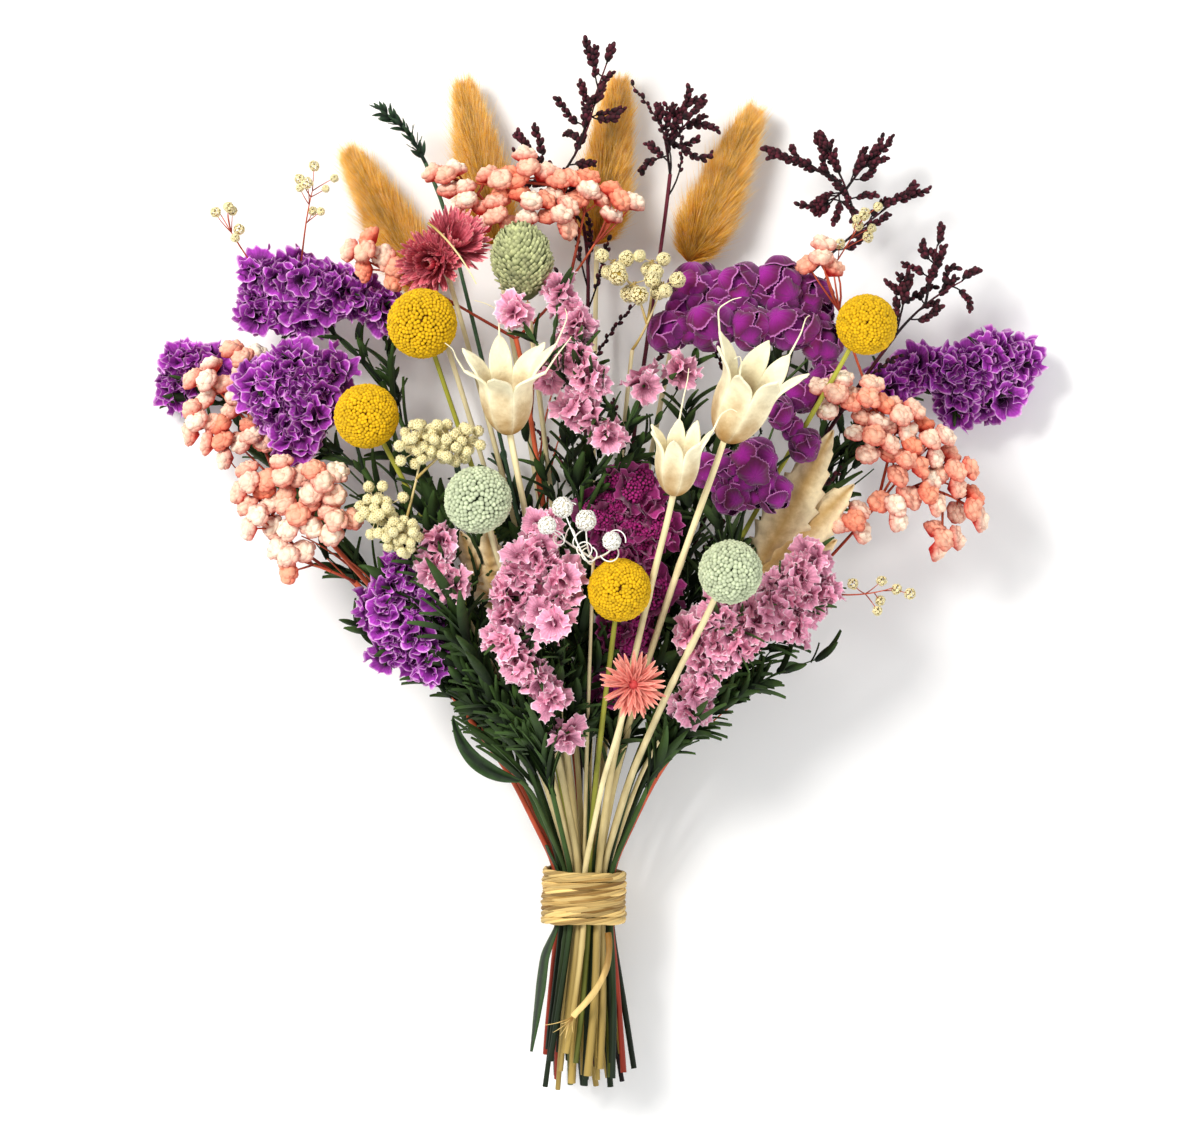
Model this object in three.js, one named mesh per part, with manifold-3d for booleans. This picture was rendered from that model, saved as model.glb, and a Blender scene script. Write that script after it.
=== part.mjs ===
// A hand-tied bunch of dried flowers, lying on its back on a table.
// Millimetres. +Y runs from the cut stems to the flowers and +Z is up. While the bunch is put
// together the middle of the tie is over the origin, and the table is at z = 0.
import * as THREE from "three";
import Module from "manifold-3d";
import { mergeVertices } from "three/addons/utils/BufferGeometryUtils.js";

const wasm = await Module();
wasm.setup();

// ---------- Driving dimensions ----------
const GAP = 0.35; // air between pieces that touch
const STEM_PITCH = 3.5; // one stem to the next inside the tie
const THIN_STEM = 2.2;
const THICK_STEM = 2.9;
const NECK_HEIGHT = 30; // middle of the tie above the table
const TIE_LENGTH = 21; // raffia binding, along the stems
const RAFFIA = 2.4; // thickness of one raffia strand
const RAFFIA_TURNS = 8.5;
const STEM_TAIL = 78; // longest cut stem below the middle of the tie
const UNEVEN_CUT = 17; // how much shorter the shortest one is
const SPLAY = 1.75; // width of the stems at the cut, against their width in the tie
const TWIST = 0.5; // radians that the stems turn from the tie to the cut
const FLARE = 1.3; // how late the stems bend outwards above the tie
const TAIL_LENGTH = 68; // a bunny tail
const TAIL_WIDTH = 23;
const BUTTON = 25; // a billy button
const SAGE_BALL = 25;
const POD_HEIGHT = 34; // a star pod, stalk end to tips
const POD_MOUTH = 21;
const POD_SPREAD = 40; // across the flared tips
const POD_WALL = 1.6;
const POD_TIPS = 7;
const POD_RISE = 0.45; // how steeply a pod looks up from the table
const BRANCH = 1.5; // a thin branch inside a spray
const BLADE = 1.4; // thickness of a leaf or a flat petal
const LEAF_ARCH = 1.5; // how high a leaf bows up between its ends
const LOOSE_END = 44; // loose end of the raffia

// ---------- Where each flower is: x, y, z of the head, and its own size ----------
const LOW = TAIL_WIDTH / 2; // height of a head that lies on the table

const TAILS = {
  bunny_tail_1: { base: [-62, 242, LOW], lean: -30 },
  bunny_tail_2: { base: [-36, 262, LOW], lean: -11 },
  bunny_tail_3: { base: [5, 262, LOW], lean: 8 },
  bunny_tail_4: { base: [42, 255, LOW], lean: 24 },
};

// A ball's height is given at its underside, which lies on the stems below it.
const onStems = (x, y, underside, size) => ({ at: [x, y, underside + size / 2], size });

const BUTTONS = {
  billy_button_1: onStems(-63, 227, 79, BUTTON * 1.08),
  billy_button_2: onStems(-85, 191, 73, BUTTON),
  billy_button_3: onStems(14, 123, 90, BUTTON * 0.97),
  billy_button_4: onStems(111, 227, 70, BUTTON * 0.94),
};

const SAGE = {
  sage_ball_1: onStems(-41, 158, 91, SAGE_BALL * 1.03),
  sage_ball_2: onStems(57, 130, 98, SAGE_BALL * 0.97),
};

const PODS = {
  star_pod_1: { at: [-29, 184, 98], size: 0.95, lean: -3 },
  star_pod_2: { at: [55, 181, 108], size: 1.05, lean: 24 },
  star_pod_3: { at: [35, 160, 118], size: 0.78, lean: 6 },
};

// Sprays: the point where the stem forks, and the tufts it carries as [x, y, z, radius].
const SPRAYS = {
  violet_statice_1: {
    fork: [-82, 208, 40],
    tufts: [[-80, 235, 50, 9], [-96, 242, 48, 11], [-113, 248, 45, 11], [-129, 248, 40, 9],
      [-131, 234, 36, 8], [-110, 233, 38, 10]],
  },
  violet_statice_2: {
    fork: [-88, 172, 56],
    tufts: [[-100, 209, 60, 9], [-116, 211, 58, 10], [-130, 206, 54, 9], [-121, 194, 56, 10],
      [-106, 193, 62, 9], [-115, 181, 58, 8]],
  },
  violet_statice_3: {
    fork: [-128, 176, 24],
    tufts: [[-149, 213, 14, 9], [-162, 215, 10, 9], [-164, 202, 10, 7]],
  },
  violet_statice_4: {
    fork: [-50, 84, 50],
    tufts: [[-72, 131, 72, 8], [-58, 122, 74, 9], [-80, 117, 68, 9], [-66, 108, 68, 9],
      [-76, 100, 62, 8], [-60, 94, 62, 8]],
  },
  violet_statice_5: {
    fork: [112, 184, 26],
    tufts: [[122, 205, 34, 9], [136, 212, 30, 10], [150, 210, 26, 11], [163, 218, 22, 10],
      [176, 216, 16, 9], [168, 202, 13, 10], [150, 196, 20, 8]],
  },
  pink_statice_1: {
    fork: [-2, 160, 80],
    tufts: [[-26, 231, 100, 5], [-9, 240, 88, 7], [-2, 228, 92, 7], [-3, 216, 94, 7],
      [-14, 207, 92, 7], [4, 204, 98, 8], [-3, 193, 98, 7], [9, 184, 102, 7], [24, 204, 92, 7],
      [38, 210, 84, 6]],
  },
  pink_statice_2: {
    fork: [-16, 58, 70],
    tufts: [[-15, 148, 98, 8], [-21, 136, 102, 9], [-8, 129, 102, 8], [-28, 122, 98, 10],
      [-13, 113, 102, 10], [-32, 105, 92, 9], [-24, 93, 92, 10], [-13, 82, 86, 8], [-8, 66, 74, 7]],
  },
  pink_statice_3: {
    fork: [38, 66, 60],
    tufts: [[89, 136, 74, 8], [93, 122, 70, 9], [79, 125, 78, 9], [68, 114, 80, 10], [84, 109, 72, 8],
      [54, 114, 80, 8], [43, 105, 80, 9], [61, 101, 78, 9], [48, 91, 74, 9], [42, 77, 66, 8]],
  },
  pink_statice_4: {
    fork: [-46, 104, 82],
    tufts: [[-57, 143, 90, 7], [-60, 132, 88, 6], [-50, 126, 90, 6]],
  },
  coral_blossom_1: {
    fork: [-26, 222, 58],
    tufts: [[-55, 287, 48, 7], [-46, 277, 50, 8], [-35, 271, 52, 8], [-33, 285, 50, 8],
      [-22, 290, 50, 8], [-21, 276, 54, 8], [-10, 285, 50, 8], [-9, 271, 54, 7], [2, 281, 50, 8],
      [14, 277, 50, 8], [-86, 256, 62, 9], [-74, 250, 62, 7]],
  },
  coral_blossom_2: {
    fork: [-118, 160, 40],
    tufts: [[-136, 215, 40, 8], [-150, 206, 38, 9], [-138, 200, 40, 8], [-154, 190, 36, 8],
      [-144, 182, 40, 9], [-132, 184, 42, 7]],
  },
  coral_blossom_3: {
    fork: [-90, 126, 52],
    tufts: [[-132, 165, 64, 8], [-118, 167, 70, 9], [-102, 165, 76, 9], [-128, 152, 64, 9],
      [-112, 152, 72, 9], [-97, 150, 76, 8], [-116, 136, 66, 8]],
  },
  coral_blossom_4: {
    fork: [92, 130, 54],
    tufts: [[99, 200, 70, 9], [112, 198, 68, 9], [125, 191, 64, 9], [114, 183, 68, 9],
      [137, 182, 58, 9], [127, 174, 62, 9], [147, 170, 52, 9], [136, 161, 56, 8], [154, 155, 46, 8],
      [123, 156, 58, 8], [143, 143, 48, 7], [107, 150, 60, 7], [94, 254, 58, 8]],
  },
  magenta_globe_1: {
    fork: [56, 186, 50],
    tufts: [[34, 225, 64, 9], [44, 243, 58, 10], [50, 228, 66, 10], [61, 242, 60, 10],
      [66, 226, 66, 9], [77, 244, 56, 11], [90, 238, 52, 9], [82, 226, 62, 10], [95, 221, 58, 9],
      [96, 206, 60, 8], [86, 199, 64, 8]],
  },
  magenta_globe_2: {
    fork: [58, 134, 70],
    tufts: [[48, 170, 80, 7], [58, 159, 82, 7], [67, 173, 82, 10], [75, 161, 80, 8], [87, 180, 74, 7],
      [77, 193, 74, 7]],
  },
  velvet_plume: {
    fork: [12, 56, 46],
    tufts: [[18, 164, 76, 10], [7, 152, 74, 9], [26, 148, 74, 10], [16, 136, 70, 10],
      [25, 122, 66, 10], [17, 104, 62, 9], [13, 86, 56, 8]],
  },
  dark_caspia_1: {
    fork: [2, 262, 34],
    tufts: [[9, 333, 34, 4], [4, 316, 36, 4], [-22, 299, 36, 4], [-12, 284, 36, 4]],
  },
  dark_caspia_2: {
    fork: [32, 268, 34],
    tufts: [[31, 309, 36, 4], [43, 312, 34, 4]],
  },
  dark_caspia_3: {
    fork: [92, 252, 32],
    tufts: [[80, 296, 32, 4], [98, 298, 30, 4], [114, 295, 28, 4], [127, 280, 26, 4], [99, 278, 30, 4]],
  },
  dark_caspia_4: {
    fork: [122, 222, 44],
    tufts: [[141, 260, 40, 4], [151, 246, 38, 4], [128, 240, 42, 4]],
  },
  rosemary_sprig: {
    fork: [-58, 284, 34],
    tufts: [[-63, 298, 34, 4], [-70, 304, 34, 4], [-77, 310, 34, 4]],
  },
  cream_yarrow: {
    fork: [-56, 132, 82],
    tufts: [[-63, 180, 94, 8], [-50, 180, 96, 8], [-80, 154, 90, 8], [-71, 144, 92, 7]],
  },
  white_curl_buds: {
    fork: [4, 140, 104],
    tufts: [[-8, 155, 112, 4], [-14, 148, 114, 3.5], [11, 142, 115, 3.5], [1, 150, 112, 4]],
  },
  cream_balls: {
    fork: [18, 210, 68],
    tufts: [[12, 252, 72, 6], [20, 243, 76, 6], [27, 252, 70, 5], [31, 243, 78, 5]],
  },
};

// Flat leaves on a stem: the fork, and each leaf as [tip x, y, z, width].
const LEAFY = {
  beige_leaf_right: {
    fork: [70, 132, 58],
    leaves: [[98, 186, 66, 12], [107, 164, 62, 12], [100, 142, 60, 10]],
  },
  beige_leaf_left: {
    fork: [-34, 112, 72],
    leaves: [[-48, 146, 80, 9], [-38, 148, 82, 8]],
  },
  curled_leaf: {
    fork: [-22, 46, 52],
    leaves: [[-52, 72, 62, 9]],
  },
};

const CERISE = { at: [-56, 256, 72], width: 33, depth: 14 };
const CORAL_STAR = { at: [19, 86, 98], eye: 7, petal: 12, petals: 9 };
const CANARY = { at: [-24, 251, 84], width: 26, length: 31 };
const LOW_BLADE = { width: 9, thickness: 1.2, reach: 62 };

// ---------- Small geometry helpers ----------
const UP = new THREE.Vector3(0, 0, 1);
const FORWARD = new THREE.Vector3(0, 1, 0);
const SIDEWAYS = new THREE.Vector3(1, 0, 0);
const STEEP = 0.95; // a rod that climbs more steeply than this lays its width sideways
const vec = (p) => new THREE.Vector3(p[0], p[1], p[2]);

function solidOf(geometry) {
  const bare = geometry.clone();
  bare.deleteAttribute("normal");
  bare.deleteAttribute("uv");
  const merged = mergeVertices(bare, 1e-4);
  return new wasm.Manifold(
    new wasm.Mesh({
      numProp: 3,
      vertProperties: merged.attributes.position.array,
      triVerts: new Uint32Array(merged.index.array),
    }),
  );
}

function geometryOf(solid) {
  const mesh = solid.getMesh();
  const position = new Float32Array(mesh.numVert * 3);
  for (let i = 0; i < mesh.numVert; i++) {
    const from = i * mesh.numProp;
    position.set(mesh.vertProperties.subarray(from, from + 3), i * 3);
  }
  const geometry = new THREE.BufferGeometry();
  geometry.setAttribute("position", new THREE.BufferAttribute(position, 3));
  geometry.setIndex(new THREE.BufferAttribute(new Uint32Array(mesh.triVerts), 1));
  const flat = geometry.toNonIndexed();
  flat.computeVertexNormals();
  return flat;
}

// A closed rod along points. size(i) gives its half width and half thickness at point i, and the
// width lies level unless the rod climbs steeply.
function rod(points, size, sides) {
  const position = [];
  const index = [];
  const last = points.length - 1;
  let across = null;
  points.forEach((point, i) => {
    const along = points[Math.min(i + 1, last)].clone().sub(points[Math.max(i - 1, 0)]).normalize();
    if (across) across.addScaledVector(along, -across.dot(along)).normalize();
    else across = along.clone().cross(Math.abs(along.z) < STEEP ? UP : SIDEWAYS).normalize();
    const over = new THREE.Vector3().crossVectors(across, along);
    const [halfWidth, halfThickness] = size(i, i / last);
    for (let s = 0; s < sides; s++) {
      const turn = (2 * Math.PI * s) / sides;
      const corner = point
        .clone()
        .addScaledVector(across, halfWidth * Math.cos(turn))
        .addScaledVector(over, halfThickness * Math.sin(turn));
      position.push(corner.x, corner.y, corner.z);
    }
  });
  for (let i = 0; i < last; i++)
    for (let s = 0; s < sides; s++) {
      const a = i * sides + s;
      const b = i * sides + ((s + 1) % sides);
      index.push(a, b, a + sides, b, b + sides, a + sides);
    }
  for (let s = 1; s < sides - 1; s++) {
    index.push(0, s + 1, s);
    index.push(last * sides, last * sides + s, last * sides + s + 1);
  }
  const geometry = new THREE.BufferGeometry();
  geometry.setAttribute("position", new THREE.Float32BufferAttribute(position, 3));
  geometry.setIndex(index);
  const made = solidOf(geometry);
  if (made.volume() > 0) return made;
  geometry.setIndex(index.reverse());
  return solidOf(geometry);
}

const roundRod = (points, radius, sides) => rod(points, () => [radius, radius], sides);

// Turns +Y to the given direction, and moves the start to a place.
function placed(geometry, direction, place) {
  const turn = new THREE.Quaternion().setFromUnitVectors(FORWARD, direction.clone().normalize());
  return geometry.applyQuaternion(turn).translate(place.x, place.y, place.z);
}

function ball(centre, radius, detail) {
  return solidOf(new THREE.IcosahedronGeometry(radius, detail).translate(centre.x, centre.y, centre.z));
}

// ---------- The stems: one slot each in the tie ----------
const FORKED = { ...SPRAYS, ...LEAFY };
const wanted = {}; // where each stem ends, and how thick it is
for (const [name, tail] of Object.entries(TAILS))
  wanted[name] = { end: vec(tail.base), size: THIN_STEM };
for (const [name, button] of Object.entries(BUTTONS))
  wanted[name] = { end: vec(button.at), back: button.size / 2, size: THIN_STEM };
for (const [name, ballHead] of Object.entries(SAGE))
  wanted[name] = { end: vec(ballHead.at), back: ballHead.size / 2, size: THICK_STEM };
for (const [name, pod] of Object.entries(PODS))
  wanted[name] = { end: vec(pod.at), size: THICK_STEM };
for (const [name, piece] of Object.entries(FORKED))
  wanted[name] = { end: vec(piece.fork), size: THIN_STEM };
wanted.canary_grass = { end: vec(CANARY.at), back: CANARY.length / 2, size: THIN_STEM };
wanted.cerise_flower = { end: vec(CERISE.at), size: THIN_STEM };
wanted.coral_star_flower = { end: vec(CORAL_STAR.at), size: THIN_STEM };
wanted.low_blade_leaf = { end: new THREE.Vector3(-16, TIE_LENGTH, NECK_HEIGHT + 8), size: THIN_STEM };

// Hexagonal slots, nearest the middle of the bundle first.
function slots(count) {
  const all = [];
  const reach = Math.ceil(Math.sqrt(count));
  for (let row = -reach; row <= reach; row++)
    for (let column = -reach; column <= reach; column++)
      all.push([
        (column + (row % 2 ? 0.5 : 0)) * STEM_PITCH,
        (row * Math.sqrt(3) * STEM_PITCH) / 2,
      ]);
  all.sort((a, b) => Math.hypot(...a) - Math.hypot(...b) || a[0] - b[0] || a[1] - b[1]);
  return all.slice(0, count);
}

// Slots are swapped until stems that lean apart start apart, so that no two stems cross.
const names = Object.keys(wanted);
const slot = slots(names.length);
const HALF_TIE = TIE_LENGTH / 2;
const spread = (y) => Math.pow(Math.max(y - HALF_TIE, 0), FLARE);
const lean = names.map((name) => {
  const { end } = wanted[name];
  return [end.x / spread(end.y), (end.z - NECK_HEIGHT) / spread(end.y)];
});
const apart = (s, i, j, k) => (s[i][k] - s[j][k]) * (lean[i][k] - lean[j][k]);
const gain = (s, i, j) => apart(s, i, j, 0) + apart(s, i, j, 1);
for (let swapped = true; swapped; ) {
  swapped = false;
  for (let i = 0; i < names.length; i++)
    for (let j = i + 1; j < names.length; j++)
      if (gain(slot, i, j) < -1e-9) {
        [slot[i], slot[j]] = [slot[j], slot[i]];
        swapped = true;
      }
}
const BUNDLE = Math.max(...slot.map((s) => Math.hypot(...s))) + THICK_STEM / 2; // radius inside the tie
const FAN = BUNDLE * SPLAY; // radius at the cut

// The bundle below the tie: y runs from 0 down to -STEM_TAIL.
function below(s, y) {
  const share = Math.max(-y - HALF_TIE, 0) / (STEM_TAIL - HALF_TIE);
  const wide = 1 + (SPLAY - 1) * share;
  const turn = TWIST * share;
  return new THREE.Vector3(
    wide * (s[0] * Math.cos(turn) - s[1] * Math.sin(turn)),
    y,
    middleHeight(y) + wide * (s[0] * Math.sin(turn) + s[1] * Math.cos(turn)),
  );
}

// Height of the middle of the bundle, which sinks until the lowest cut stem touches the table.
function middleHeight(y) {
  const share = Math.max(-y - HALF_TIE, 0) / (STEM_TAIL - HALF_TIE);
  return NECK_HEIGHT + (FAN - NECK_HEIGHT) * share;
}

const GOLDEN_SHARE = 0.618; // steps of this share never repeat, so no two cuts are level
const STATION = 38; // stems bend at the same distances from the tie, so they keep clear of each other
const paths = {};
names.forEach((name, k) => {
  const s = slot[k];
  const { end, back = 0 } = wanted[name];
  const cut = -STEM_TAIL + UNEVEN_CUT * ((k * GOLDEN_SHARE) % 1);
  const points = [];
  for (const y of [cut, -STEM_TAIL * 0.6, -STEM_TAIL * 0.36, -HALF_TIE]) points.push(below(s, y));
  const top = new THREE.Vector3(end.x, end.y, end.z - NECK_HEIGHT);
  const at = (y) => {
    const share = spread(y) / spread(end.y);
    return new THREE.Vector3(s[0] + (top.x - s[0]) * share, y, NECK_HEIGHT + s[1] + (top.z - s[1]) * share);
  };
  const arrive = at(end.y).sub(at(end.y - 4)).normalize();
  const stop = end.clone().addScaledVector(arrive, -(back + GAP));
  points.push(at(HALF_TIE));
  for (let y = HALF_TIE + STATION; y < stop.y - STATION / 3; y += STATION) points.push(at(y));
  points.push(stop);
  paths[name] = { points, arrive, radius: wanted[name].size / 2 };
});

// ---------- Materials ----------
function finish(color, roughness) {
  return new THREE.MeshStandardMaterial({ color, roughness, metalness: 0 });
}
const COLOURS = {
  bunny_tail: [0xd9a558, 0.95],
  canary_grass: [0xa8ae78, 0.9],
  billy_button: [0xf0c800, 0.85],
  sage_ball: [0xb4c6a0, 0.9],
  star_pod: [0xfbf3d8, 0.6],
  cerise_flower: [0xd03050, 0.85],
  coral_star_flower: [0xf08070, 0.85],
  violet_statice: [0x7b2fa0, 0.85],
  pink_statice: [0xd98db9, 0.85],
  coral_blossom: [0xf0a080, 0.85],
  magenta_globe: [0x8e1c9a, 0.9],
  velvet_plume: [0x8a1060, 0.9],
  dark_caspia: [0x3a1420, 0.85],
  rosemary_sprig: [0x24402a, 0.85],
  cream_yarrow: [0xf2ecc0, 0.9],
  white_curl_buds: [0xf8f6ee, 0.8],
  cream_balls: [0xf4eecb, 0.9],
  beige_leaf: [0xe0c48c, 0.85],
  curled_leaf: [0x24402a, 0.8],
  low_blade_leaf: [0x2c4a20, 0.8],
  raffia: [0xd9b36a, 0.8],
};
const STRAW = [0xc8ac5c, 0.75];
const OLIVE = [0x8a8c38, 0.75];

const group = new THREE.Group();
group.name = "dried_flower_bunch";

function add(name, solid, [color, roughness]) {
  const mesh = new THREE.Mesh(geometryOf(solid), finish(color, roughness));
  mesh.name = name;
  group.add(mesh);
}

function colourOf(name) {
  return COLOURS[Object.keys(COLOURS).find((key) => name.startsWith(key))];
}

// ---------- Heads ----------
function leanTo(degrees, rise) {
  const a = THREE.MathUtils.degToRad(degrees);
  return new THREE.Vector3(Math.sin(a), Math.cos(a), rise).normalize();
}

const HEAD_SIDES = 12;
function lathe(profile, sides) {
  return new THREE.LatheGeometry(profile.map(([r, y]) => new THREE.Vector2(r, y)), sides);
}

function tailHead({ base, lean: degrees }, grow) {
  const r = TAIL_WIDTH / 2;
  const profile = [[0, -grow], [r * 0.62, 2 - grow], [r, TAIL_LENGTH * 0.28], [r * 0.96, TAIL_LENGTH * 0.5],
    [r * 0.66, TAIL_LENGTH * 0.78], [r * 0.3, TAIL_LENGTH * 0.94], [0, TAIL_LENGTH + grow]];
  const grown = profile.map(([x, y]) => [x ? x + grow : 0, y]);
  return solidOf(placed(lathe(grown, HEAD_SIDES), leanTo(degrees, 0), vec(base)));
}

function podHead({ at, size, lean: degrees }, grow) {
  const mouth = (POD_MOUTH / 2) * size + grow;
  const height = POD_HEIGHT * size;
  const cup = height * 0.55;
  const inner = mouth - POD_WALL - grow * 2;
  const outer = [[0, -grow], [mouth * 0.55, cup * 0.12 - grow], [mouth * 0.92, cup * 0.5], [mouth, cup]];
  const inside = [[inner, cup], [inner * 0.9, cup * 0.5], [0, cup * 0.3]];
  const direction = leanTo(degrees, POD_RISE);
  let solid = solidOf(lathe([...outer, ...inside], HEAD_SIDES));
  const flare = (POD_SPREAD / 2) * size;
  for (let i = 0; i < POD_TIPS; i++) {
    const turn = (2 * Math.PI * i) / POD_TIPS;
    const out = new THREE.Vector3(Math.cos(turn), 0, Math.sin(turn));
    const point = (reach, y) => out.clone().multiplyScalar(reach).setY(y);
    const middle = (mouth + inner) / 2;
    const line = [point(middle * 0.97, cup * 0.7), point(middle + 1, cup * 1.15), point(flare, height)];
    const widths = [mouth * 0.4, mouth * 0.34, 0.5 + grow];
    const flat = rodAcross(line, widths.map((w) => [w, POD_WALL / 2 + grow]), out);
    solid = solid.add(flat);
  }
  return solidOf(placed(geometryOf(solid), direction, vec(at)));
}

// A flat strip whose faces look towards "facing" and whose width lies across it.
function rodAcross(line, sizes, facing) {
  const across = new THREE.Vector3(-facing.z, 0, facing.x);
  const position = [];
  line.forEach((point, i) => {
    const along = line[Math.min(i + 1, line.length - 1)].clone().sub(line[Math.max(i - 1, 0)]).normalize();
    const over = new THREE.Vector3().crossVectors(along, across);
    const [w, t] = sizes[i];
    for (const [a, b] of [[-1, -1], [1, -1], [1, 1], [-1, 1]]) {
      const corner = point.clone().addScaledVector(across, a * w).addScaledVector(over, b * t);
      position.push(corner.x, corner.y, corner.z);
    }
  });
  const index = [0, 1, 2, 0, 2, 3];
  const end = (line.length - 1) * 4;
  index.push(end, end + 2, end + 1, end, end + 3, end + 2);
  for (let i = 0; i < line.length - 1; i++)
    for (let s = 0; s < 4; s++) {
      const a = i * 4 + s;
      const b = i * 4 + ((s + 1) % 4);
      index.push(a, a + 4, b, b, a + 4, b + 4);
    }
  const geometry = new THREE.BufferGeometry();
  geometry.setAttribute("position", new THREE.Float32BufferAttribute(position, 3));
  geometry.setIndex(index);
  const made = solidOf(geometry);
  if (made.volume() > 0) return made;
  geometry.setIndex(index.reverse());
  return solidOf(geometry);
}

function oval(centre, direction, width, length, detail) {
  const shape = new THREE.IcosahedronGeometry(0.5, detail).scale(width, length, width);
  return solidOf(placed(shape, direction, centre));
}

const STEM_SIDES = 5;
const BRANCH_SIDES = 3;
const stemOf = (name, grow = 0) => roundRod(paths[name].points, paths[name].radius + grow, STEM_SIDES);

// Each piece as a solid, with a margin added all round when it is used as a cutter.
const pieces = {};
for (const name of Object.keys(TAILS)) {
  pieces[name + "_stem"] = { make: (grow) => stemOf(name, grow), colour: STRAW };
  pieces[name + "_head"] = { make: (grow) => tailHead(TAILS[name], grow), colour: colourOf(name) };
}
for (const [name, f] of [...Object.entries(BUTTONS), ...Object.entries(SAGE)]) {
  const colour = name.startsWith("sage") ? STRAW : OLIVE;
  pieces[name + "_stem"] = { make: (grow) => stemOf(name, grow), colour };
  const head = (grow) => ball(vec(f.at), f.size / 2 + grow, 2);
  pieces[name + "_head"] = { make: head, colour: colourOf(name) };
}
for (const name of Object.keys(PODS)) {
  pieces[name + "_stem"] = { make: (grow) => stemOf(name, grow), colour: STRAW };
  pieces[name + "_head"] = { make: (grow) => podHead(PODS[name], grow), colour: colourOf(name) };
}
pieces.canary_grass_stem = { make: (grow) => stemOf("canary_grass", grow), colour: STRAW };
pieces.canary_grass_head = {
  make: (grow) =>
    oval(vec(CANARY.at), paths.canary_grass.arrive, CANARY.width + 2 * grow, CANARY.length + 2 * grow, 1),
  colour: colourOf("canary_grass"),
};

pieces.cerise_flower = {
  make: (grow) => {
    const facing = new THREE.Vector3(-0.15, 0.35, 1).normalize();
    const head = oval(vec(CERISE.at), facing, CERISE.width + 2 * grow, CERISE.depth + 2 * grow, 1);
    return head.add(stemOf("cerise_flower", grow));
  },
  colour: colourOf("cerise_flower"),
};
pieces.coral_star_flower = {
  make: (grow) => {
    const eye = ball(vec(CORAL_STAR.at), CORAL_STAR.eye / 2 + grow, 0);
    let solid = eye.add(stemOf("coral_star_flower", grow));
    for (let i = 0; i < CORAL_STAR.petals; i++) {
      const turn = (2 * Math.PI * i) / CORAL_STAR.petals;
      const tip = vec(CORAL_STAR.at).add(
        new THREE.Vector3(Math.cos(turn), Math.sin(turn), 0.35).multiplyScalar(CORAL_STAR.petal),
      );
      const line = [vec(CORAL_STAR.at), vec(CORAL_STAR.at).lerp(tip, 0.5), tip];
      solid = solid.add(rod(line, (k) => [[1, 1.7, 0.3][k] + grow, BLADE / 2 + grow], 4));
    }
    return solid;
  },
  colour: colourOf("coral_star_flower"),
};

const INTO_STEM = 2; // how far below its top a stem forks

// A spray: stem, thin branches and round tufts, grown as one.
function spray(name, grow) {
  const { fork, tufts } = SPRAYS[name];
  let solid = stemOf(name, grow);
  const from = vec(fork).addScaledVector(paths[name].arrive, -GAP - INTO_STEM);
  for (const [x, y, z, r] of tufts) {
    const centre = new THREE.Vector3(x, y, z);
    solid = solid
      .add(roundRod([from, centre], BRANCH / 2 + grow, BRANCH_SIDES))
      .add(ball(centre, r + grow, 0));
  }
  return solid;
}

// Flat leaves on one stem.
function leafy(name, grow) {
  const { fork, leaves } = LEAFY[name];
  let solid = stemOf(name, grow);
  const from = vec(fork).addScaledVector(paths[name].arrive, -GAP - INTO_STEM);
  for (const [x, y, z, width] of leaves) {
    const tip = new THREE.Vector3(x, y, z);
    const arch = (t) => 4 * LEAF_ARCH * t * (1 - t);
    const line = [0, 0.3, 0.65, 1].map((t) => from.clone().lerp(tip, t).addScaledVector(UP, arch(t)));
    const half = [0.12, 0.5, 0.45, 0.08];
    solid = solid.add(rod(line, (k) => [half[k] * width + grow, BLADE / 2 + grow], 6));
  }
  return solid;
}

// A wide leaf that leaves the tie on the upper side and lies on the cut stems.
function lowBlade(grow) {
  const points = paths.low_blade_leaf.points.slice(3);
  const start = points[0];
  const blade = [start];
  const side = Math.atan2(start.z - NECK_HEIGHT, start.x);
  for (const t of [0.25, 0.5, 0.75, 1]) {
    const y = -HALF_TIE - (LOW_BLADE.reach - HALF_TIE) * t;
    const share = (-y - HALF_TIE) / (STEM_TAIL - HALF_TIE);
    const radius = BUNDLE * (1 + (SPLAY - 1) * share) + LOW_BLADE.thickness + 4 * GAP;
    blade.push(new THREE.Vector3(radius * Math.cos(side), y, middleHeight(y) + radius * Math.sin(side)));
  }
  const half = [THIN_STEM / 2, LOW_BLADE.width * 0.4, LOW_BLADE.width / 2, LOW_BLADE.width * 0.35, 0.8];
  return roundRod(points, THIN_STEM / 2 + grow, 6).add(
    rod(blade, (k) => [half[k] + grow, LOW_BLADE.thickness / 2 + grow], 6),
  );
}

const FIRST = Object.keys(pieces); // whole pieces, never cut
for (const name of Object.keys(SPRAYS))
  pieces[name] = { make: (grow) => spray(name, grow), stem: name, colour: colourOf(name) };
for (const name of Object.keys(LEAFY))
  pieces[name] = { make: (grow) => leafy(name, grow), stem: name, colour: colourOf(name) };
pieces.low_blade_leaf = { make: lowBlade, colour: colourOf("low_blade_leaf") };

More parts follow.
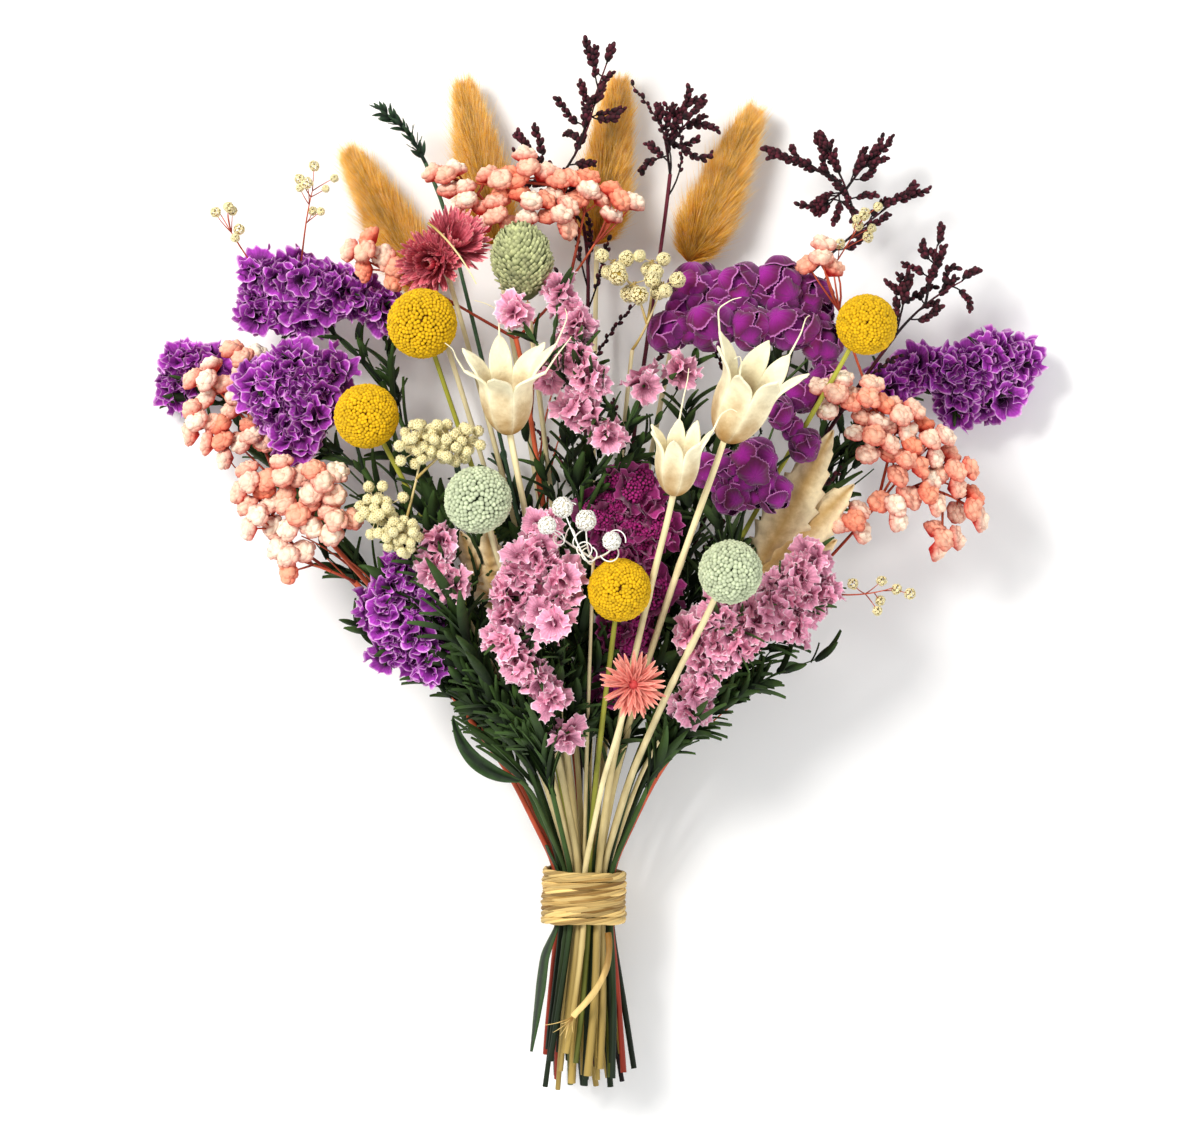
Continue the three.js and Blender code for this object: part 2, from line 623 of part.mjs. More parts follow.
// Raffia wound round the neck. One turn lies hard against the next, so the wraps are one body.
const WIND = BUNDLE + GAP * 2 + RAFFIA / 2; // radius of the strand's middle
const STEPS_A_TURN = 12;
function binding() {
  const count = Math.round(RAFFIA_TURNS * STEPS_A_TURN);
  const points = [];
  for (let i = 0; i <= count; i++) {
    const turn = (2 * Math.PI * i) / STEPS_A_TURN;
    const y = (TIE_LENGTH - RAFFIA) * (0.5 - i / count);
    points.push(new THREE.Vector3(WIND * Math.cos(turn), y, NECK_HEIGHT + WIND * Math.sin(turn)));
  }
  const half = ((TIE_LENGTH - RAFFIA) / RAFFIA_TURNS) * 0.56;
  return rod(points, () => [RAFFIA / 2, half], 4);
}
pieces.raffia_binding = { make: binding, colour: colourOf("raffia") };

// The loose end of the raffia comes out under the last turn and lies over the cut stems.
function looseEnd() {
  const points = [];
  const steps = 12;
  const from = -HALF_TIE - RAFFIA;
  for (let i = 0; i <= steps; i++) {
    const t = i / steps;
    const y = from - LOOSE_END * 0.78 * t;
    const share = (-y - HALF_TIE) / (STEM_TAIL - HALF_TIE);
    const radius = BUNDLE * (1 + (SPLAY - 1) * share) + RAFFIA / 2 + 2 * GAP + 1.5 * Math.sin(Math.PI * t);
    const side = 0.95 + 0.85 * t * t;
    points.push(new THREE.Vector3(radius * Math.cos(side), y, middleHeight(y) + radius * Math.sin(side)));
  }
  return rod(points, () => [RAFFIA / 2, RAFFIA / 2], 8);
}
pieces.raffia_loose_end = { make: looseEnd, colour: colourOf("raffia") };

// ---------- Putting it together ----------
// A spray gives way to whatever was in the bunch before it: every stem, every whole head and the
// sprays put in earlier.
const boxOf = (solid) => solid.boundingBox();
const meets = (a, b) => [0, 1, 2].every((k) => a.min[k] < b.max[k] && b.min[k] < a.max[k]);

const stemCutters = names.filter((n) => n !== "low_blade_leaf").map((n) => [n, stemOf(n, GAP)]);
const cutters = FIRST.filter((n) => !n.endsWith("_stem")).map((n) => [n, pieces[n].make(GAP)]);
for (const [name, piece] of Object.entries(pieces)) {
  let solid = piece.make(0);
  if (piece.stem) {
    for (const [other, cutter] of [...stemCutters, ...cutters])
      if (other !== piece.stem && meets(boxOf(solid), boxOf(cutter))) solid = solid.subtract(cutter);
    const bodies = solid.decompose().sort((a, b) => b.volume() - a.volume());
    solid = bodies[0];
    cutters.push([name, piece.make(GAP)]);
  }
  add(name, solid, piece.colour);
}

// The origin is on the table, under the middle of the bunch.
const size = new THREE.Box3().setFromObject(group, true);
group.children.forEach((mesh) => {
  mesh.position.set(-(size.min.x + size.max.x) / 2, -(size.min.y + size.max.y) / 2, -size.min.z);
});

export default group;
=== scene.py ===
import math

import bmesh
import bpy
import numpy as np
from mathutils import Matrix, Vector


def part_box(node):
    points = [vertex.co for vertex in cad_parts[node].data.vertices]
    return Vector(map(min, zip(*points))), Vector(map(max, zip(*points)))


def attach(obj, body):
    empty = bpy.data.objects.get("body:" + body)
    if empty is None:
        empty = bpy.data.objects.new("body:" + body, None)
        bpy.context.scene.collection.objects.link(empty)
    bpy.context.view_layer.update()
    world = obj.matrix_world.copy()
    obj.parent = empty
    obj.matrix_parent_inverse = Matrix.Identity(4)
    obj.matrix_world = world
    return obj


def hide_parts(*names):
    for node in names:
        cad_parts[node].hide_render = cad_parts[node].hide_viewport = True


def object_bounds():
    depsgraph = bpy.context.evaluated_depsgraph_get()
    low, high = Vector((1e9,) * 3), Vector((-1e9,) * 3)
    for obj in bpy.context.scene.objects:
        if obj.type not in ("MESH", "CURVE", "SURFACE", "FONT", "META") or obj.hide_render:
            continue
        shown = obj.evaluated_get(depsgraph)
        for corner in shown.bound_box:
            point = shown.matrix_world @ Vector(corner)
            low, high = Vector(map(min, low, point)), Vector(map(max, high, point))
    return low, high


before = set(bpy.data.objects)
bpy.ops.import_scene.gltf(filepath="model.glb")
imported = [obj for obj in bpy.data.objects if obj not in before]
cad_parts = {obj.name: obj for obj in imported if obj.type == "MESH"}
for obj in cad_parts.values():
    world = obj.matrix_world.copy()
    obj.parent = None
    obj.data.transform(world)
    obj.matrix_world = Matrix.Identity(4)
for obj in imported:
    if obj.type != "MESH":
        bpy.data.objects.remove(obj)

CAD_BOX = [list(corner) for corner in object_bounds()]
MM = 0.001

# ---------------------------------------------------------------- Camera, light and floor
# The bunch lies on its back on a pale table and is looked at from straight above, through a
# long lens, with the cut stems nearest the viewer.
low, high = Vector(CAD_BOX[0]), Vector(CAD_BOX[1])
FLOWER_HEIGHT = 0.085  # the height at which most flower heads lie
VIEW_DISTANCE = 2.4
VIEW_WIDTH = 0.470  # what the picture spans at flower height
ASIDE, AHEAD = -0.0004, 0.0046  # the lens points this far from the middle of the bunch
SENSOR = 36  # millimetres
aim = Vector(((low.x + high.x) / 2 + ASIDE, (low.y + high.y) / 2 + AHEAD, FLOWER_HEIGHT))

lens = bpy.data.cameras.new("camera")
lens.sensor_width = SENSOR
lens.lens = SENSOR * VIEW_DISTANCE / VIEW_WIDTH
lens.clip_end = 30
camera = bpy.data.objects.new("camera", lens)
camera.location = aim + Vector((0, 0, VIEW_DISTANCE))
bpy.context.scene.collection.objects.link(camera)
bpy.context.scene.camera = camera


def area_light(name, place, size, watts, colour):
    """A square softbox that faces the bunch."""
    data = bpy.data.lights.new(name, "AREA")
    data.shape = "SQUARE"
    data.size = size
    data.energy = watts
    data.color = colour
    lamp = bpy.data.objects.new(name, data)
    lamp.location = place
    lamp.rotation_euler = (aim - Vector(place)).to_track_quat("-Z", "Y").to_euler()
    bpy.context.scene.collection.objects.link(lamp)


area_light("key_softbox", (-0.9, 0.7, 1.5), 0.6, 31, (1.0, 0.98, 0.95))
area_light("fill_softbox", (1.3, -0.4, 1.3), 1.1, 9, (0.96, 0.98, 1.0))
area_light("front_softbox", (0.1, -1.4, 0.8), 0.9, 6, (1.0, 1.0, 1.0))

ROOM_LIGHT = 0.56  # soft white light from all round
world = bpy.data.worlds.new("studio")
world.use_nodes = True
world.node_tree.nodes["Background"].inputs["Color"].default_value = (1, 1, 1, 1)
world.node_tree.nodes["Background"].inputs["Strength"].default_value = ROOM_LIGHT
bpy.context.scene.world = world
bpy.context.scene.view_settings.view_transform = "Standard"


def linear(colour):
    """An sRGB hex colour as the linear values that a shader wants."""
    parts = [(colour >> shift & 255) / 255 for shift in (16, 8, 0)]
    return [c / 12.92 if c <= 0.04045 else ((c + 0.055) / 1.055) ** 2.4 for c in parts] + [1.0]


def add_node(tree, kind, links=None, **settings):
    """One shader node: settings are its properties, links its inputs, joined or given a value."""
    made = tree.nodes.new(kind)
    for key, value in settings.items():
        setattr(made, key, value)
    for key, value in (links or {}).items():
        if isinstance(value, bpy.types.NodeSocket):
            tree.links.new(value, made.inputs[key])
        else:
            made.inputs[key].default_value = value
    return made


def empty_material(name, roughness, **shader):
    """A material with one plain surface shader, whose other values are given by name."""
    material = bpy.data.materials.new(name)
    material.use_nodes = True
    tree = material.node_tree
    tree.nodes.clear()
    values = {"Roughness": roughness}
    values.update({key.replace("_", " "): value for key, value in shader.items()})
    skin = add_node(tree, "ShaderNodeBsdfPrincipled", values)
    add_node(tree, "ShaderNodeOutputMaterial", {"Surface": skin.outputs["BSDF"]})
    return material, tree, skin


def table_top():
    """Matt white paper, with a faint unevenness that keeps it from looking like a void."""
    material, tree, skin = empty_material("white_paper", 0.9)
    cloud = add_node(tree, "ShaderNodeTexNoise", {"Scale": 3.0})
    blend = add_node(tree, "ShaderNodeMix", {"Factor": cloud.outputs["Fac"]}, data_type="RGBA")
    blend.inputs["A"].default_value = linear(0xFDFDFC)
    blend.inputs["B"].default_value = linear(0xFFFFFF)
    tree.links.new(blend.outputs["Result"], skin.inputs["Base Color"])
    return material


TABLE_HALF = 6
TABLE_GAP = 0.0002  # keeps the table just clear of the lowest stem
corners = [(x * TABLE_HALF, y * TABLE_HALF, 0) for x, y in ((-1, -1), (1, -1), (1, 1), (-1, 1))]
floor_mesh = bpy.data.meshes.new("floor")
floor_mesh.from_pydata(corners, [], [(0, 1, 2, 3)])
floor = bpy.data.objects.new("floor", floor_mesh)
floor_mesh.materials.append(table_top())
floor.location.z = -TABLE_GAP
bpy.context.scene.collection.objects.link(floor)

# ---------------------------------------------------------------- Raffia
# Dried palm leaf torn into strands and wound tight round the neck, its turns not quite parallel.
# The loose end comes out from under the last turn and lies over the cut stems, frayed at its tip.
RAFFIA_TURNS = 9
RAFFIA_COLOURS = (0x7E5618, 0xE8C880)
LOWEST = 0.0003  # nothing reaches below this height, just above the table
rng = np.random.default_rng(7)


def unit(v):
    """Vectors made one metre long."""
    return v / np.maximum(np.linalg.norm(v, axis=-1, keepdims=True), 1e-12)


def grid_faces(rows, columns, closed):
    """Quads of a grid of points that is rows by columns, closed round its columns or not."""
    i, j = np.meshgrid(np.arange(rows - 1), np.arange(columns if closed else columns - 1), indexing="ij")
    a, b = i * columns + j, i * columns + (j + 1) % columns
    return np.stack([a, b, b + columns, a + columns], -1).reshape(-1, 4)


def ring_angles(count):
    """Angles evenly spaced round a circle."""
    return np.linspace(0, 2 * np.pi, count, endpoint=False)


def swung(turn, side, over):
    """Directions at given turns round an axis, from the two directions across it."""
    return np.cos(turn)[:, None] * side + np.sin(turn)[:, None] * over


def coloured(shade, along):
    """The tint of one surface: how light it is, how far along it each point lies, and its hue."""
    return np.stack([shade, along, shade], -1)


def tube(points, radii, sides=8, tint=0.5, flat=1.0, ridges=0, cap=True):
    """A stalk or strand along points, as (points, faces, tint). Tint's middle value runs from 0
    at its start to 1 at its end."""
    p = np.asarray(points, float)
    radii = np.broadcast_to(np.asarray(radii, float), (len(p),))
    along = unit(np.gradient(p, axis=0))
    side = np.zeros_like(p)
    start = np.cross(along[0], (0, 0, 1) if abs(along[0][2]) < 0.9 else (1, 0, 0))
    side[0] = unit(start)
    for k in range(1, len(p)):
        side[k] = unit(side[k - 1] - along[k] * (side[k - 1] @ along[k]))
    over = np.cross(side, along)
    turn = ring_angles(sides)
    rib = 1 + 0.07 * np.cos(ridges * turn) if ridges else np.ones(sides)
    ring = (np.cos(turn) * rib)[None, :, None] * side[:, None]
    ring = ring + (np.sin(turn) * rib * flat)[None, :, None] * over[:, None]
    verts = (p[:, None] + ring * radii[:, None, None]).reshape(-1, 3)
    share = np.repeat(np.linspace(0, 1, len(p)), sides)
    tints = np.stack([np.full(len(verts), tint), share, share], -1)
    chunks = [(verts, grid_faces(len(p), sides, True), tints)]
    if cap:
        for k, middle in ((0, p[0]), (len(p) - 1, p[-1])):
            edge = verts[k * sides : (k + 1) * sides]
            fan = np.vstack([edge, middle])
            around = np.arange(sides)
            faces = np.stack([around, (around + 1) % sides, np.full(sides, sides)], -1)
            if k == 0:
                faces = faces[:, ::-1]
            end = np.full(len(fan), float(k > 0))
            chunks.append((fan, faces, np.stack([np.full(len(fan), tint), end, end], -1)))
    return chunks


def build(name, chunks, material, node):
    """One object of many small surfaces, riding on the bunch in place of its CAD node."""
    mesh = bpy.data.meshes.new(name)
    verts = np.concatenate([c[0] for c in chunks])
    verts[:, 2] = np.maximum(verts[:, 2], LOWEST)
    starts = np.cumsum([0] + [len(c[0]) for c in chunks[:-1]])
    loops = np.concatenate([(c[1] + s).reshape(-1) for c, s in zip(chunks, starts)])
    totals = np.concatenate([np.full(len(c[1]), c[1].shape[1]) for c in chunks])
    mesh.vertices.add(len(verts))
    mesh.vertices.foreach_set("co", verts.astype(np.float32).reshape(-1))
    mesh.loops.add(len(loops))
    mesh.loops.foreach_set("vertex_index", loops.astype(np.int32))
    mesh.polygons.add(len(totals))
    firsts = np.concatenate([[0], np.cumsum(totals)[:-1]])
    mesh.polygons.foreach_set("loop_start", firsts.astype(np.int32))
    mesh.polygons.foreach_set("loop_total", totals.astype(np.int32))
    mesh.polygons.foreach_set("use_smooth", np.ones(len(totals), bool))
    tint = np.concatenate([c[2] for c in chunks])
    tint = np.column_stack([tint, np.ones(len(tint))])
    layer = mesh.color_attributes.new("tint", "FLOAT_COLOR", "POINT")
    layer.data.foreach_set("color", tint.astype(np.float32).reshape(-1))
    mesh.update()
    mesh.validate()
    mesh.materials.append(material)
    piece = bpy.data.objects.new(name, mesh)
    bpy.context.scene.collection.objects.link(piece)
    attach(piece, "root")
    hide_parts(node)
    return piece


def mixed(tree, share, first, second):
    """A blend of two colours, each a hex value or a socket."""
    ends = [c if isinstance(c, bpy.types.NodeSocket) else linear(c) for c in (first, second)]
    blend = add_node(tree, "ShaderNodeMix", {"Factor": share, "A": ends[0], "B": ends[1]}, data_type="RGBA")
    return blend.outputs["Result"]


def plant_finish(
    name, root, edge, roughness, mottle, relief, spread=0.35, turn_at=0.5, sheen=0.0, fibre=None,
    rim=None, rim_at=0.9, other=None, veins=0,
):
    """Dry plant matter. The colour runs from root to edge along each petal or strand and ends in
    the rim colour. Each one is a little lighter or darker than the next, or nearer to the other
    colour. Mottle and relief are sizes in millimetres, veins counts the lines along a petal."""
    material, tree, skin = empty_material(name, roughness, Sheen_Weight=sheen, Specular_IOR_Level=0.3)
    tint = add_node(tree, "ShaderNodeAttribute", attribute_name="tint")
    parts = add_node(tree, "ShaderNodeSeparateColor", {"Color": tint.outputs["Color"]})
    place = add_node(tree, "ShaderNodeTexCoord").outputs["Object"]
    stretch = (1, 1, 1) if fibre is None else fibre
    grain = add_node(tree, "ShaderNodeMapping", {"Vector": place, "Scale": stretch})
    cloud = add_node(
        tree, "ShaderNodeTexNoise",
        {"Vector": grain.outputs["Vector"], "Scale": 1 / (mottle * MM), "Detail": 4.0, "Roughness": 0.6},
    )
    wander = add_node(tree, "ShaderNodeMath", {0: cloud.outputs["Fac"], 1: 0.5}, operation="SUBTRACT")
    share = add_node(
        tree, "ShaderNodeMath",
        {0: wander.outputs["Value"], 1: 0.5, 2: parts.outputs["Green"]}, operation="MULTIPLY_ADD",
    )
    fade = add_node(
        tree, "ShaderNodeMapRange",
        {"Value": share.outputs["Value"], "From Min": turn_at - 0.5, "From Max": turn_at + 0.5},
        interpolation_type="SMOOTHSTEP",
    )
    if other is not None:
        edge = mixed(tree, parts.outputs["Blue"], edge, other)
    colour = mixed(tree, fade.outputs["Result"], root, edge)
    if rim is not None:
        last = add_node(tree, "ShaderNodeMapRange", {"Value": parts.outputs["Green"], "From Min": rim_at})
        colour = mixed(tree, last.outputs["Result"], colour, rim)
    light = add_node(
        tree, "ShaderNodeMapRange",
        {"Value": parts.outputs["Red"], "To Min": 1 - spread, "To Max": 1 + spread * 0.6},
    )
    shade = add_node(
        tree, "ShaderNodeMath",
        {0: wander.outputs["Value"], 1: 0.5, 2: light.outputs["Result"]}, operation="MULTIPLY_ADD",
    ).outputs["Value"]
    fine = add_node(
        tree, "ShaderNodeTexNoise",
        {"Vector": grain.outputs["Vector"], "Scale": 1 / (relief * MM), "Detail": 3.0},
    )
    height = fine.outputs["Fac"]
    if veins:
        angle = add_node(
            tree, "ShaderNodeMath", {0: parts.outputs["Blue"], 1: veins * 2 * math.pi}, operation="MULTIPLY"
        )
        wave = add_node(tree, "ShaderNodeMath", {0: angle.outputs["Value"]}, operation="SINE")
        shade = add_node(
            tree, "ShaderNodeMath", {0: wave.outputs["Value"], 1: 0.09, 2: shade}, operation="MULTIPLY_ADD"
        ).outputs["Value"]
        height = add_node(
            tree, "ShaderNodeMath", {0: wave.outputs["Value"], 1: 0.3, 2: height}, operation="MULTIPLY_ADD"
        ).outputs["Value"]
    shaded = add_node(tree, "ShaderNodeVectorMath", {0: colour, "Scale": shade}, operation="SCALE")
    tree.links.new(shaded.outputs["Vector"], skin.inputs["Base Color"])
    bump = add_node(
        tree, "ShaderNodeBump", {"Height": height, "Strength": 0.5, "Distance": relief * MM * 0.5}
    )
    tree.links.new(bump.outputs["Normal"], skin.inputs["Normal"])
    return material


cut_cache = {}


def slice_middle(node, at):
    """Where a plane across the bunch cuts a CAD node: the middle and the half width of the cut."""
    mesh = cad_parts[node].data
    if node not in cut_cache:
        points = np.array([v.co for v in mesh.vertices])
        edges = np.array([e.vertices for e in mesh.edges])
        cut_cache[node] = (points[edges[:, 0]], points[edges[:, 1]])
    a, b = cut_cache[node]
    crossing = (a[:, 1] - at) * (b[:, 1] - at) < 0
    if not crossing.any():
        return None, 0
    a, b = a[crossing], b[crossing]
    t = ((at - a[:, 1]) / (b[:, 1] - a[:, 1]))[:, None]
    hit = a + (b - a) * t
    return (hit.min(0) + hit.max(0)) / 2, np.ptp(hit, axis=0).max() / 2


END_CUT = 0.0004  # a stem's first and last cuts lie this far inside its ends


def line_of(node, widest, steps=26):
    """The middle line of a stem in a CAD node, from its cut end up to where it forks or ends."""
    lo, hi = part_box(node)
    found = []
    for y in np.linspace(lo.y + END_CUT, hi.y - END_CUT, steps):
        middle, half = slice_middle(node, y)
        if middle is None or half > widest:
            break
        found.append(middle)
    line = np.array(found)
    cut_end = line[0] - unit(line[1] - line[0]) * END_CUT
    return np.vstack([cut_end, line])


# Split palm leaf: dull, with fibres along it, brown in its folds as painted shade and pale on its ridges as
# painted highlight.
raffia_skin = plant_finish(
    "dull_raffia", *RAFFIA_COLOURS, roughness=0.6, mottle=2.5, relief=0.3, spread=0.45, fibre=(0.1,
    1.0, 0.1),
)
# The same leaf where it hangs loose, with its fibres down the strand.
loose_skin = plant_finish(
    "dull_raffia_along", *RAFFIA_COLOURS, roughness=0.6, mottle=2.5, relief=0.3, spread=0.45,
    fibre=(1.0, 0.15, 1.0),
)

# Each turn is four narrow strips that twist slowly round each other.
STRIPS = 4
STRIP_HALF = 0.00072
RAFFIA_INSET = 0.0014  # how far the strips' middle lies inside the binding's outer face
tie_low, tie_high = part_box("raffia_binding")
neck = np.array((tie_low + tie_high) / 2)
tie_radius = (tie_high.x - tie_low.x) / 2
pitch = (tie_high.y - tie_low.y) / RAFFIA_TURNS
around = np.linspace(0, 2 * np.pi, 121)
wraps = []
for turn in range(RAFFIA_TURNS):
    middle_y = tie_low.y + (turn + 0.5) * pitch
    lean, roll = rng.normal(0, 0.0010), rng.uniform(0, 6.3)
    twist = rng.integers(2, 5)
    for strip in range(STRIPS):
        phase = around * twist + 2 * np.pi * strip / STRIPS + roll
        reach = tie_radius - RAFFIA_INSET + 0.0003 * np.sin(around * 3 + roll) + 0.0006 * np.sin(phase)
        y = middle_y + lean * np.sin(around + roll) + 0.36 * pitch * np.cos(phase)
        route = np.stack([neck[0] + reach * np.cos(around), y, neck[2] + reach * np.sin(around)], -1)
        width = STRIP_HALF * (1 + 0.25 * np.sin(around * 2 + rng.uniform(0, 6)))
        verts, faces, tint = tube(route, width, 8, rng.uniform(0.1, 1.0), cap=False)[0]
        # Each strand's tone is random, with lines along it darker in its folds as painted shade and paler
        # on its ridges as painted highlight.
        tint[:, 1] = rng.uniform(0.2, 0.95) + 0.15 * np.sin(np.arange(len(tint)) % 8 * 2.4)
        wraps.append((verts, faces, tint))
build("raffia_wraps", wraps, raffia_skin, "raffia_binding")

# The loose strand. Its route is that of the CAD strand, read at cuts across the bunch.
LOOSE_STEPS = 24
LOOSE_WIDTH = 0.0024
loose_low, loose_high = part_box("raffia_loose_end")
cuts = np.linspace(loose_high.y - LOOSE_WIDTH / 2, loose_low.y + LOOSE_WIDTH / 2, LOOSE_STEPS)
loose_line = np.array([slice_middle("raffia_loose_end", y)[0] for y in cuts])
loose_radii = LOOSE_WIDTH / 2 * (1 + 0.06 * np.sin(np.linspace(0, 19, LOOSE_STEPS)))
loose = build(
    "raffia_loose_strand", tube(loose_line, loose_radii, 12, 0.7, flat=0.75, ridges=4),
    loose_skin, "raffia_loose_end",
)
FRAYED_FIBRES = 7
FRAY_STEPS = 8
frays = []
tip, before = loose_line[-1], loose_line[-4]
for _ in range(FRAYED_FIBRES):
    heading = unit(unit(tip - before) + rng.normal(0, 0.3, 3) * (1, 1, 0.35))
    reach = rng.uniform(0.005, 0.012)
    steps = np.linspace(0, 1, FRAY_STEPS)[:, None]
    bow = np.cross(heading, (0, 0, 1)) * rng.normal(0, 0.002)
    route = tip + heading * steps * reach + bow * steps**2
    frays += tube(route, np.linspace(0.0003, 0.00008, FRAY_STEPS), 5, rng.uniform(0.5, 1), cap=False)
fray = build("raffia_fray", frays, loose_skin, "raffia_loose_end")

# ---------------------------------------------------------------- Stems of the single flowers
# Round stalks cut straight across at the bottom, straw-coloured on the grasses and pods and
# yellow-green on the billy buttons, each with fine ribs along it and a joint here and there.
STRAW = (0xB0944C, 0xFFF0BC)
OLIVE = (0x5E6420, 0xA8A83C)

# Dried grass stalk: half matt pale gold, streaked along its length.
straw_skin = plant_finish(
    "dry_straw", *STRAW, roughness=0.55, mottle=6.0, relief=0.4, spread=0.3, fibre=(1.0, 0.08, 1.0),
)
# A stalk that dried green: matt yellow-green, streaked along its length.
olive_skin = plant_finish(
    "dry_green_stalk", *OLIVE, roughness=0.6, mottle=6.0, relief=0.4, spread=0.3, fibre=(1.0, 0.08,
    1.0),
)


def resample(line, count):
    """The same line with its points evenly spaced."""
    gone = np.concatenate([[0], np.cumsum(np.linalg.norm(np.diff(line, axis=0), axis=1))])
    at = np.linspace(0, gone[-1], count)
    return np.stack([np.interp(at, gone, line[:, k]) for k in range(3)], -1)


def smooth_line(line, count, passes=3):
    """A line with evenly spaced points and its corners eased."""
    line = resample(line, count)
    for _ in range(passes):
        line[1:-1] = (line[:-2] + line[1:-1] * 2 + line[2:]) / 4
    return line


STALK_STEPS = 48
STALK_TAPER = 0.8  # the top's width over the cut end's
THICK_STALK, THIN_STALK = 0.00145, 0.00112  # radii


def stalk(line, radius, joints=2):
    """A stem with a slight taper and joints."""
    line = smooth_line(line, STALK_STEPS)
    share = np.linspace(0, 1, STALK_STEPS)
    width = radius * (1 + (STALK_TAPER - 1) * share) * (1 + 0.04 * np.sin(share * 31 + rng.uniform(0, 6)))
    for _ in range(joints):
        at = rng.uniform(0.1, 0.9)
        width = width * (1 + 0.22 * np.exp(-(((share - at) / 0.008) ** 2)))
    return tube(line, width, 12, rng.uniform(0.15, 0.95), ridges=6)


stem_ends = {}
for name in [n.removesuffix("_stem") for n in sorted(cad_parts) if n.endswith("_stem")]:
    line = line_of(name + "_stem", 0.0045)
    stem_ends[name] = line[-1]
    green = name.startswith("billy")
    radius = THICK_STALK if name.startswith(("sage", "star")) else THIN_STALK
    build(
        name + "_stalk", stalk(line, radius, joints=0 if green else 2),
        olive_skin if green else straw_skin, name + "_stem",
    )

# ---------------------------------------------------------------- Bunny tails
# The seed heads of a soft grass, dyed golden tan. A firm core is hidden by thousands of silky
# hairs that point up and outwards, darker at the roots as painted shade and nearly white at the tips as
# painted light.
HAIRS_PER_TAIL = 24000
LOCKS_PER_TAIL = 900
SHORTEST_HAIR, LONGEST_HAIR = 0.0045, 0.0135
WISPS = 0.10  # share of the hairs that stand out past the rest

# Dyed silky hair: matt gold, darker at its root as painted shade and nearly white at its thin tip as
# painted light.
tail_skin = plant_finish(
    "soft_grass_hair", 0xD07C10, 0xFFCA4C, roughness=0.75, mottle=4.0, relief=0.5, spread=0.26,
    turn_at=0.40, rim=0xFFF0C8, rim_at=0.8,
)
# The husks under the hair: rough, brown and matt.
core_skin = plant_finish(
    "seed_core", 0x9C6420, 0xC8883C, roughness=0.9, mottle=2.0, relief=0.6, spread=0.3,
)


def vertices_of(node):
    """The points of a CAD node."""
    return np.array([v.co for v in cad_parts[node].data.vertices])


def basis(axis):
    """Two directions across an axis."""
    axis = unit(np.asarray(axis, float))
    helper = np.where(np.abs(axis[..., 2:3]) < 0.9, (0.0, 0.0, 1.0), (1.0, 0.0, 0.0))
    side = unit(np.cross(axis, helper))
    return side, np.cross(axis, side)


def hairs(roots, ways, lengths, widths, bend, tint):
    """Flat tapering hairs. bend is how far each tip is carried sideways, as a vector."""
    share = np.array([0, 0.5, 1.0])
    wide = np.array([1.0, 0.8, 0.12])
    spine = (
        roots[:, None] + ways[:, None] * (lengths[:, None] * share)[..., None]
        + bend[:, None] * (share**2)[None, :, None]
    )
    side = unit(np.cross(ways, rng.normal(0, 1, ways.shape)))
    offset = side[:, None] * (widths[:, None] * wide)[..., None]
    verts = np.stack([spine - offset, spine + offset], 2).reshape(-1, 3)
    strip = np.array([[0, 1, 3, 2], [2, 3, 5, 4]])
    faces = (strip[None] + (np.arange(len(roots)) * 6)[:, None, None]).reshape(-1, 4)
    along = np.tile(np.repeat(share, 2), len(roots))
    return (verts, faces, coloured(np.repeat(tint, 6), along))


def base_of(points, name):
    """The point of a single flower's head that sits on the end of its stem."""
    return points[np.argmin(np.linalg.norm(points - stem_ends[name], axis=1))]


def girth(t, radius):
    """How far a tail reaches from its axis, from its base at 0 to its tip at 1."""
    t = np.clip(t, 0, 1)
    return radius * np.minimum(np.sqrt(t / 0.14), 1) * (1 - 0.82 * np.clip((t - 0.2) / 0.8, 0, 1) ** 1.4)


def fluff(base, axis, length, radius):
    """The hairs of one tail. They stand in locks that lean one way, with stray wisps painted lighter
    as painted light, and those along the top are painted darker as painted shade."""
    count = HAIRS_PER_TAIL
    side, over = basis(axis)
    lock = rng.integers(0, LOCKS_PER_TAIL, count)
    t = np.clip(rng.uniform(0.0, 0.93, LOCKS_PER_TAIL)[lock] + rng.normal(0, 0.016, count), 0, 0.93)
    turn = rng.uniform(0, 2 * np.pi, LOCKS_PER_TAIL)[lock] + rng.normal(0, 0.16, count)
    out = swung(turn, side, over)
    inner = girth(t, radius) * rng.uniform(0.3, 0.62, count)
    roots = base + np.outer(t * length, axis) + out * inner[:, None]
    stand = 0.40 + 1.3 * np.exp(-t / 0.07) - 0.16 * t
    lean = rng.normal(0, 0.12, (LOCKS_PER_TAIL, 3))[lock] + rng.normal(0, 0.05, (count, 3))
    ways = unit(out * stand[:, None] + axis + lean)
    slant = np.maximum((ways * out).sum(1), 0.16)
    lengths = np.clip((girth(t + 0.06, radius) * 1.05 - inner) / slant, SHORTEST_HAIR, LONGEST_HAIR)
    lengths = lengths * rng.uniform(0.7, 1.1, count)
    wisp = rng.uniform(0, 1, count) < WISPS
    lengths = np.where(wisp, lengths * 1.45 + 0.001, lengths)
    lengths = np.minimum(lengths, (rng.uniform(0.98, 1.09, count) - t) * length)
    droop = out * 0.0008 + rng.normal(0, 0.0005, (count, 3))
    # Hairs that face straight up are painted darker as painted shade, and wisps lighter as painted light.
    parting_shade = np.clip((out[:, 2] - 0.93) / 0.07, 0, 1)
    shade = rng.uniform(0.2, 1, LOCKS_PER_TAIL)[lock] + rng.normal(0, 0.15, count)
    tint = np.clip(shade - 0.5 * parting_shade * (t < 0.8) + 0.3 * wisp, 0, 1)
    return hairs(roots, ways, lengths, rng.uniform(0.00005, 0.0001, count), droop, tint)


